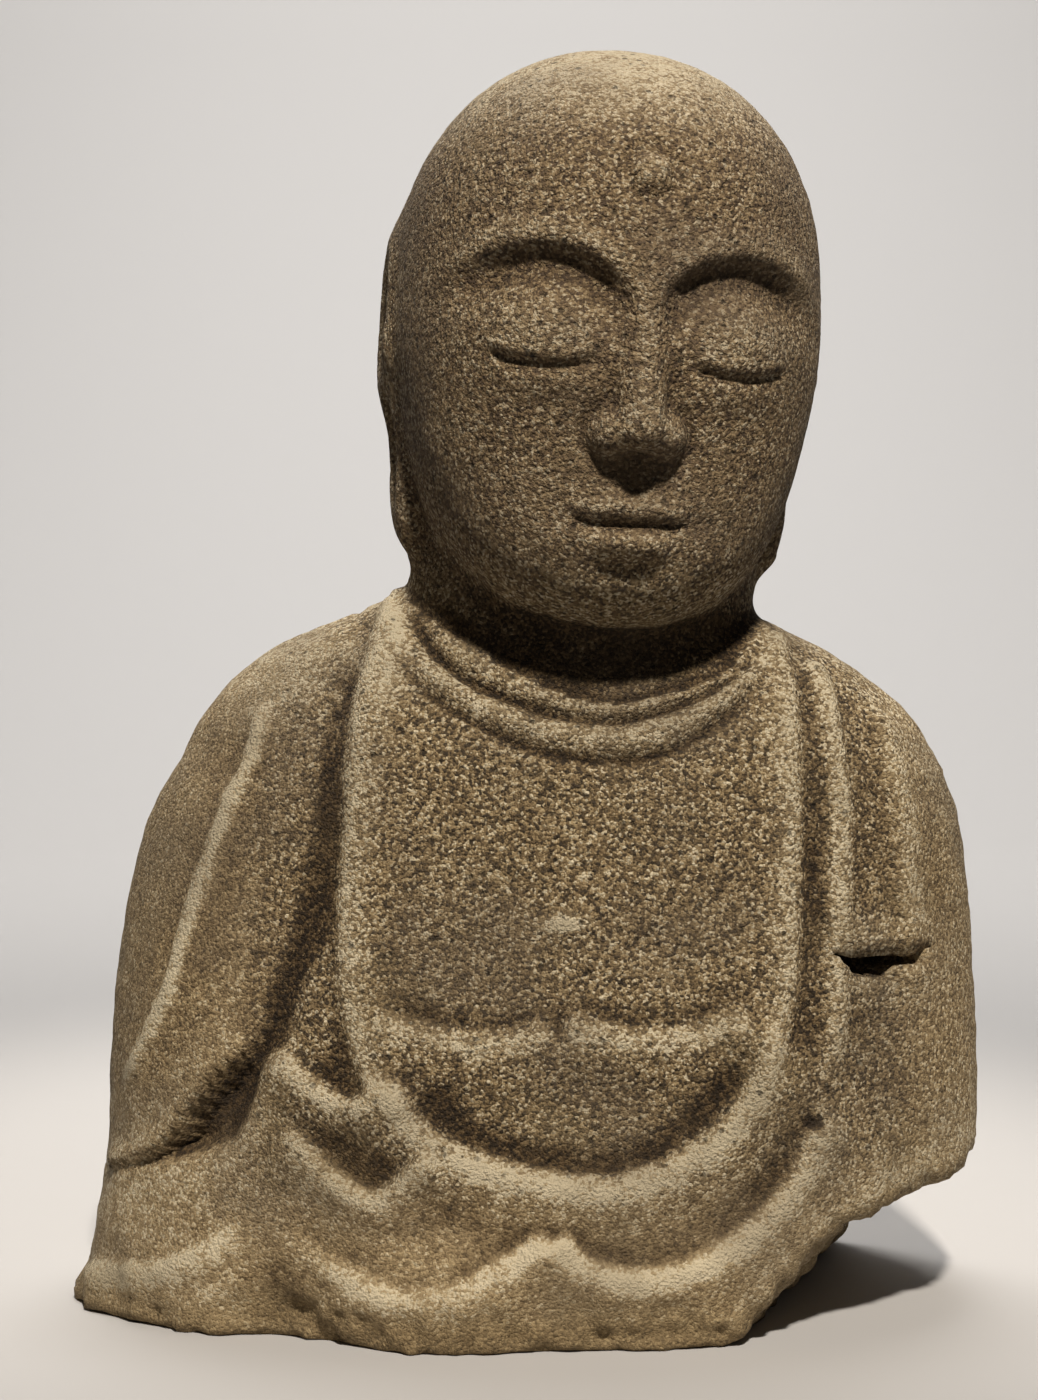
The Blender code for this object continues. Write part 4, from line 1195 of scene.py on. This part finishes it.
def sweep_mesh(name, half_width, front, back, bend, height, steps=24):
    """Floor that bends up behind in a quarter circle and rises."""
    turn = np.linspace(0.0, np.pi / 2, steps)
    depth = np.concatenate([[front], back + bend * np.sin(turn), [back + bend]])
    rise = np.concatenate([[0.0], bend * (1.0 - np.cos(turn)), [height]])
    across = np.array((-half_width, half_width))
    places = np.stack(
        [np.tile(across, len(depth)), np.repeat(depth, 2), np.repeat(rise, 2)], axis=-1
    )
    row = 2 * np.arange(len(depth) - 1)
    faces = np.stack([row, row + 1, row + 3, row + 2], axis=-1)
    mesh = bpy.data.meshes.new(name)
    mesh.from_pydata(places.tolist(), [], faces.tolist())
    mesh.polygons.foreach_set("use_smooth", np.ones(len(faces), bool))
    mesh.update()
    return mesh


def plain_material(name, colour, roughness):
    """Matt material of one colour."""
    material = bpy.data.materials.new(name)
    material.use_nodes = True
    shader = material.node_tree.nodes["Principled BSDF"]
    shader.inputs["Base Color"].default_value = (*colour, 1.0)
    shader.inputs["Roughness"].default_value = roughness
    return material


def add_light(light, place, target, power, colour):
    """Light that stands at a place and looks at a point."""
    light.energy = power
    light.color = colour
    lamp = bpy.data.objects.new(light.name, light)
    lamp.location = place
    lamp.rotation_euler = (Vector(target) - Vector(place)).to_track_quat("-Z", "Y").to_euler()
    bpy.context.scene.collection.objects.link(lamp)


def spot_light(name, angle, softness):
    """Spot of a given angle with a soft edge."""
    light = bpy.data.lights.new(name, "SPOT")
    light.spot_size = angle
    light.spot_blend = 0.6
    light.shadow_soft_size = softness
    return light


def area_light(name, size):
    """Square light of a given size."""
    light = bpy.data.lights.new(name, "AREA")
    light.size = size
    return light


class FIGURE_OT_stage(bpy.types.Operator):
    """Add the floor, the light and the camera"""

    bl_idname = "figure.stage"
    bl_label = "Studio"

    def execute(self, context):
        scene = context.scene
        stage = scene.studio_stage
        floor_mesh = sweep_mesh("studio_floor", half_width=4.0, front=-3.0, back=1.2, bend=0.8, height=3.5)
        floor_mesh.materials.append(plain_material("pale_floor", stage.floor, 0.8))
        floor = bpy.data.objects.new("studio_floor", floor_mesh)
        scene.collection.objects.link(floor)
        key = spot_light("key_light", math.radians(15.5), 0.08)
        add_light(key, KEY_PLACE, KEY_TARGET, stage.key, KEY_COLOUR)
        add_light(area_light("fill_light", 1.3), FILL_PLACE, STAGE_MIDDLE, stage.fill, FILL_COLOUR)
        add_light(area_light("back_light", 0.8), BACK_PLACE, STAGE_MIDDLE, stage.back, BACK_COLOUR)
        add_light(area_light("wall_light", 1.2), WALL_PLACE, WALL_TARGET, stage.wall, WALL_COLOUR)
        world = bpy.data.worlds.new("pale_room")
        world.use_nodes = True
        background = world.node_tree.nodes["Background"]
        background.inputs["Color"].default_value = ROOM_COLOUR
        background.inputs["Strength"].default_value = stage.room
        scene.world = world
        scene.view_settings.view_transform = "Standard"
        lens = bpy.data.cameras.new("camera")
        lens.lens = stage.lens
        lens.sensor_width = 36.0
        camera = bpy.data.objects.new("camera", lens)
        camera.location = stage.camera_place
        camera.rotation_euler = (math.pi / 2 - stage.camera_dip, 0.0, 0.0)
        scene.collection.objects.link(camera)
        scene.camera = camera
        return {"FINISHED"}


class FIGURE_PT_panel(bpy.types.Panel):
    """Lists the pieces and their settings"""

    bl_idname = "FIGURE_PT_panel"
    bl_label = "Stone figure"
    bl_space_type = "VIEW_3D"
    bl_region_type = "UI"
    bl_category = "Stone figure"

    def draw(self, context):
        for owner, operator in (
            (context.scene.figure_form, "figure.stone"),
            (context.scene.stone_finish, None),
            (context.scene.studio_stage, "figure.stage"),
        ):
            box = self.layout.box()
            for name in owner.__annotations__:
                box.prop(owner, name)
            if operator:
                box.operator(operator)


CLASSES = (StoneForm, StoneFinish, StudioStage, FIGURE_OT_stone, FIGURE_OT_stage, FIGURE_PT_panel)


def register():
    for item in CLASSES:
        bpy.utils.register_class(item)
    bpy.types.Scene.figure_form = bpy.props.PointerProperty(type=StoneForm)
    bpy.types.Scene.stone_finish = bpy.props.PointerProperty(type=StoneFinish)
    bpy.types.Scene.studio_stage = bpy.props.PointerProperty(type=StudioStage)


def unregister():
    del bpy.types.Scene.studio_stage
    del bpy.types.Scene.stone_finish
    del bpy.types.Scene.figure_form
    for item in reversed(CLASSES):
        bpy.utils.unregister_class(item)


def main():
    register()
    bpy.ops.figure.stone()
    bpy.ops.figure.stage()
    bpy.context.view_layer.update()


if __name__ == "__main__":
    main()
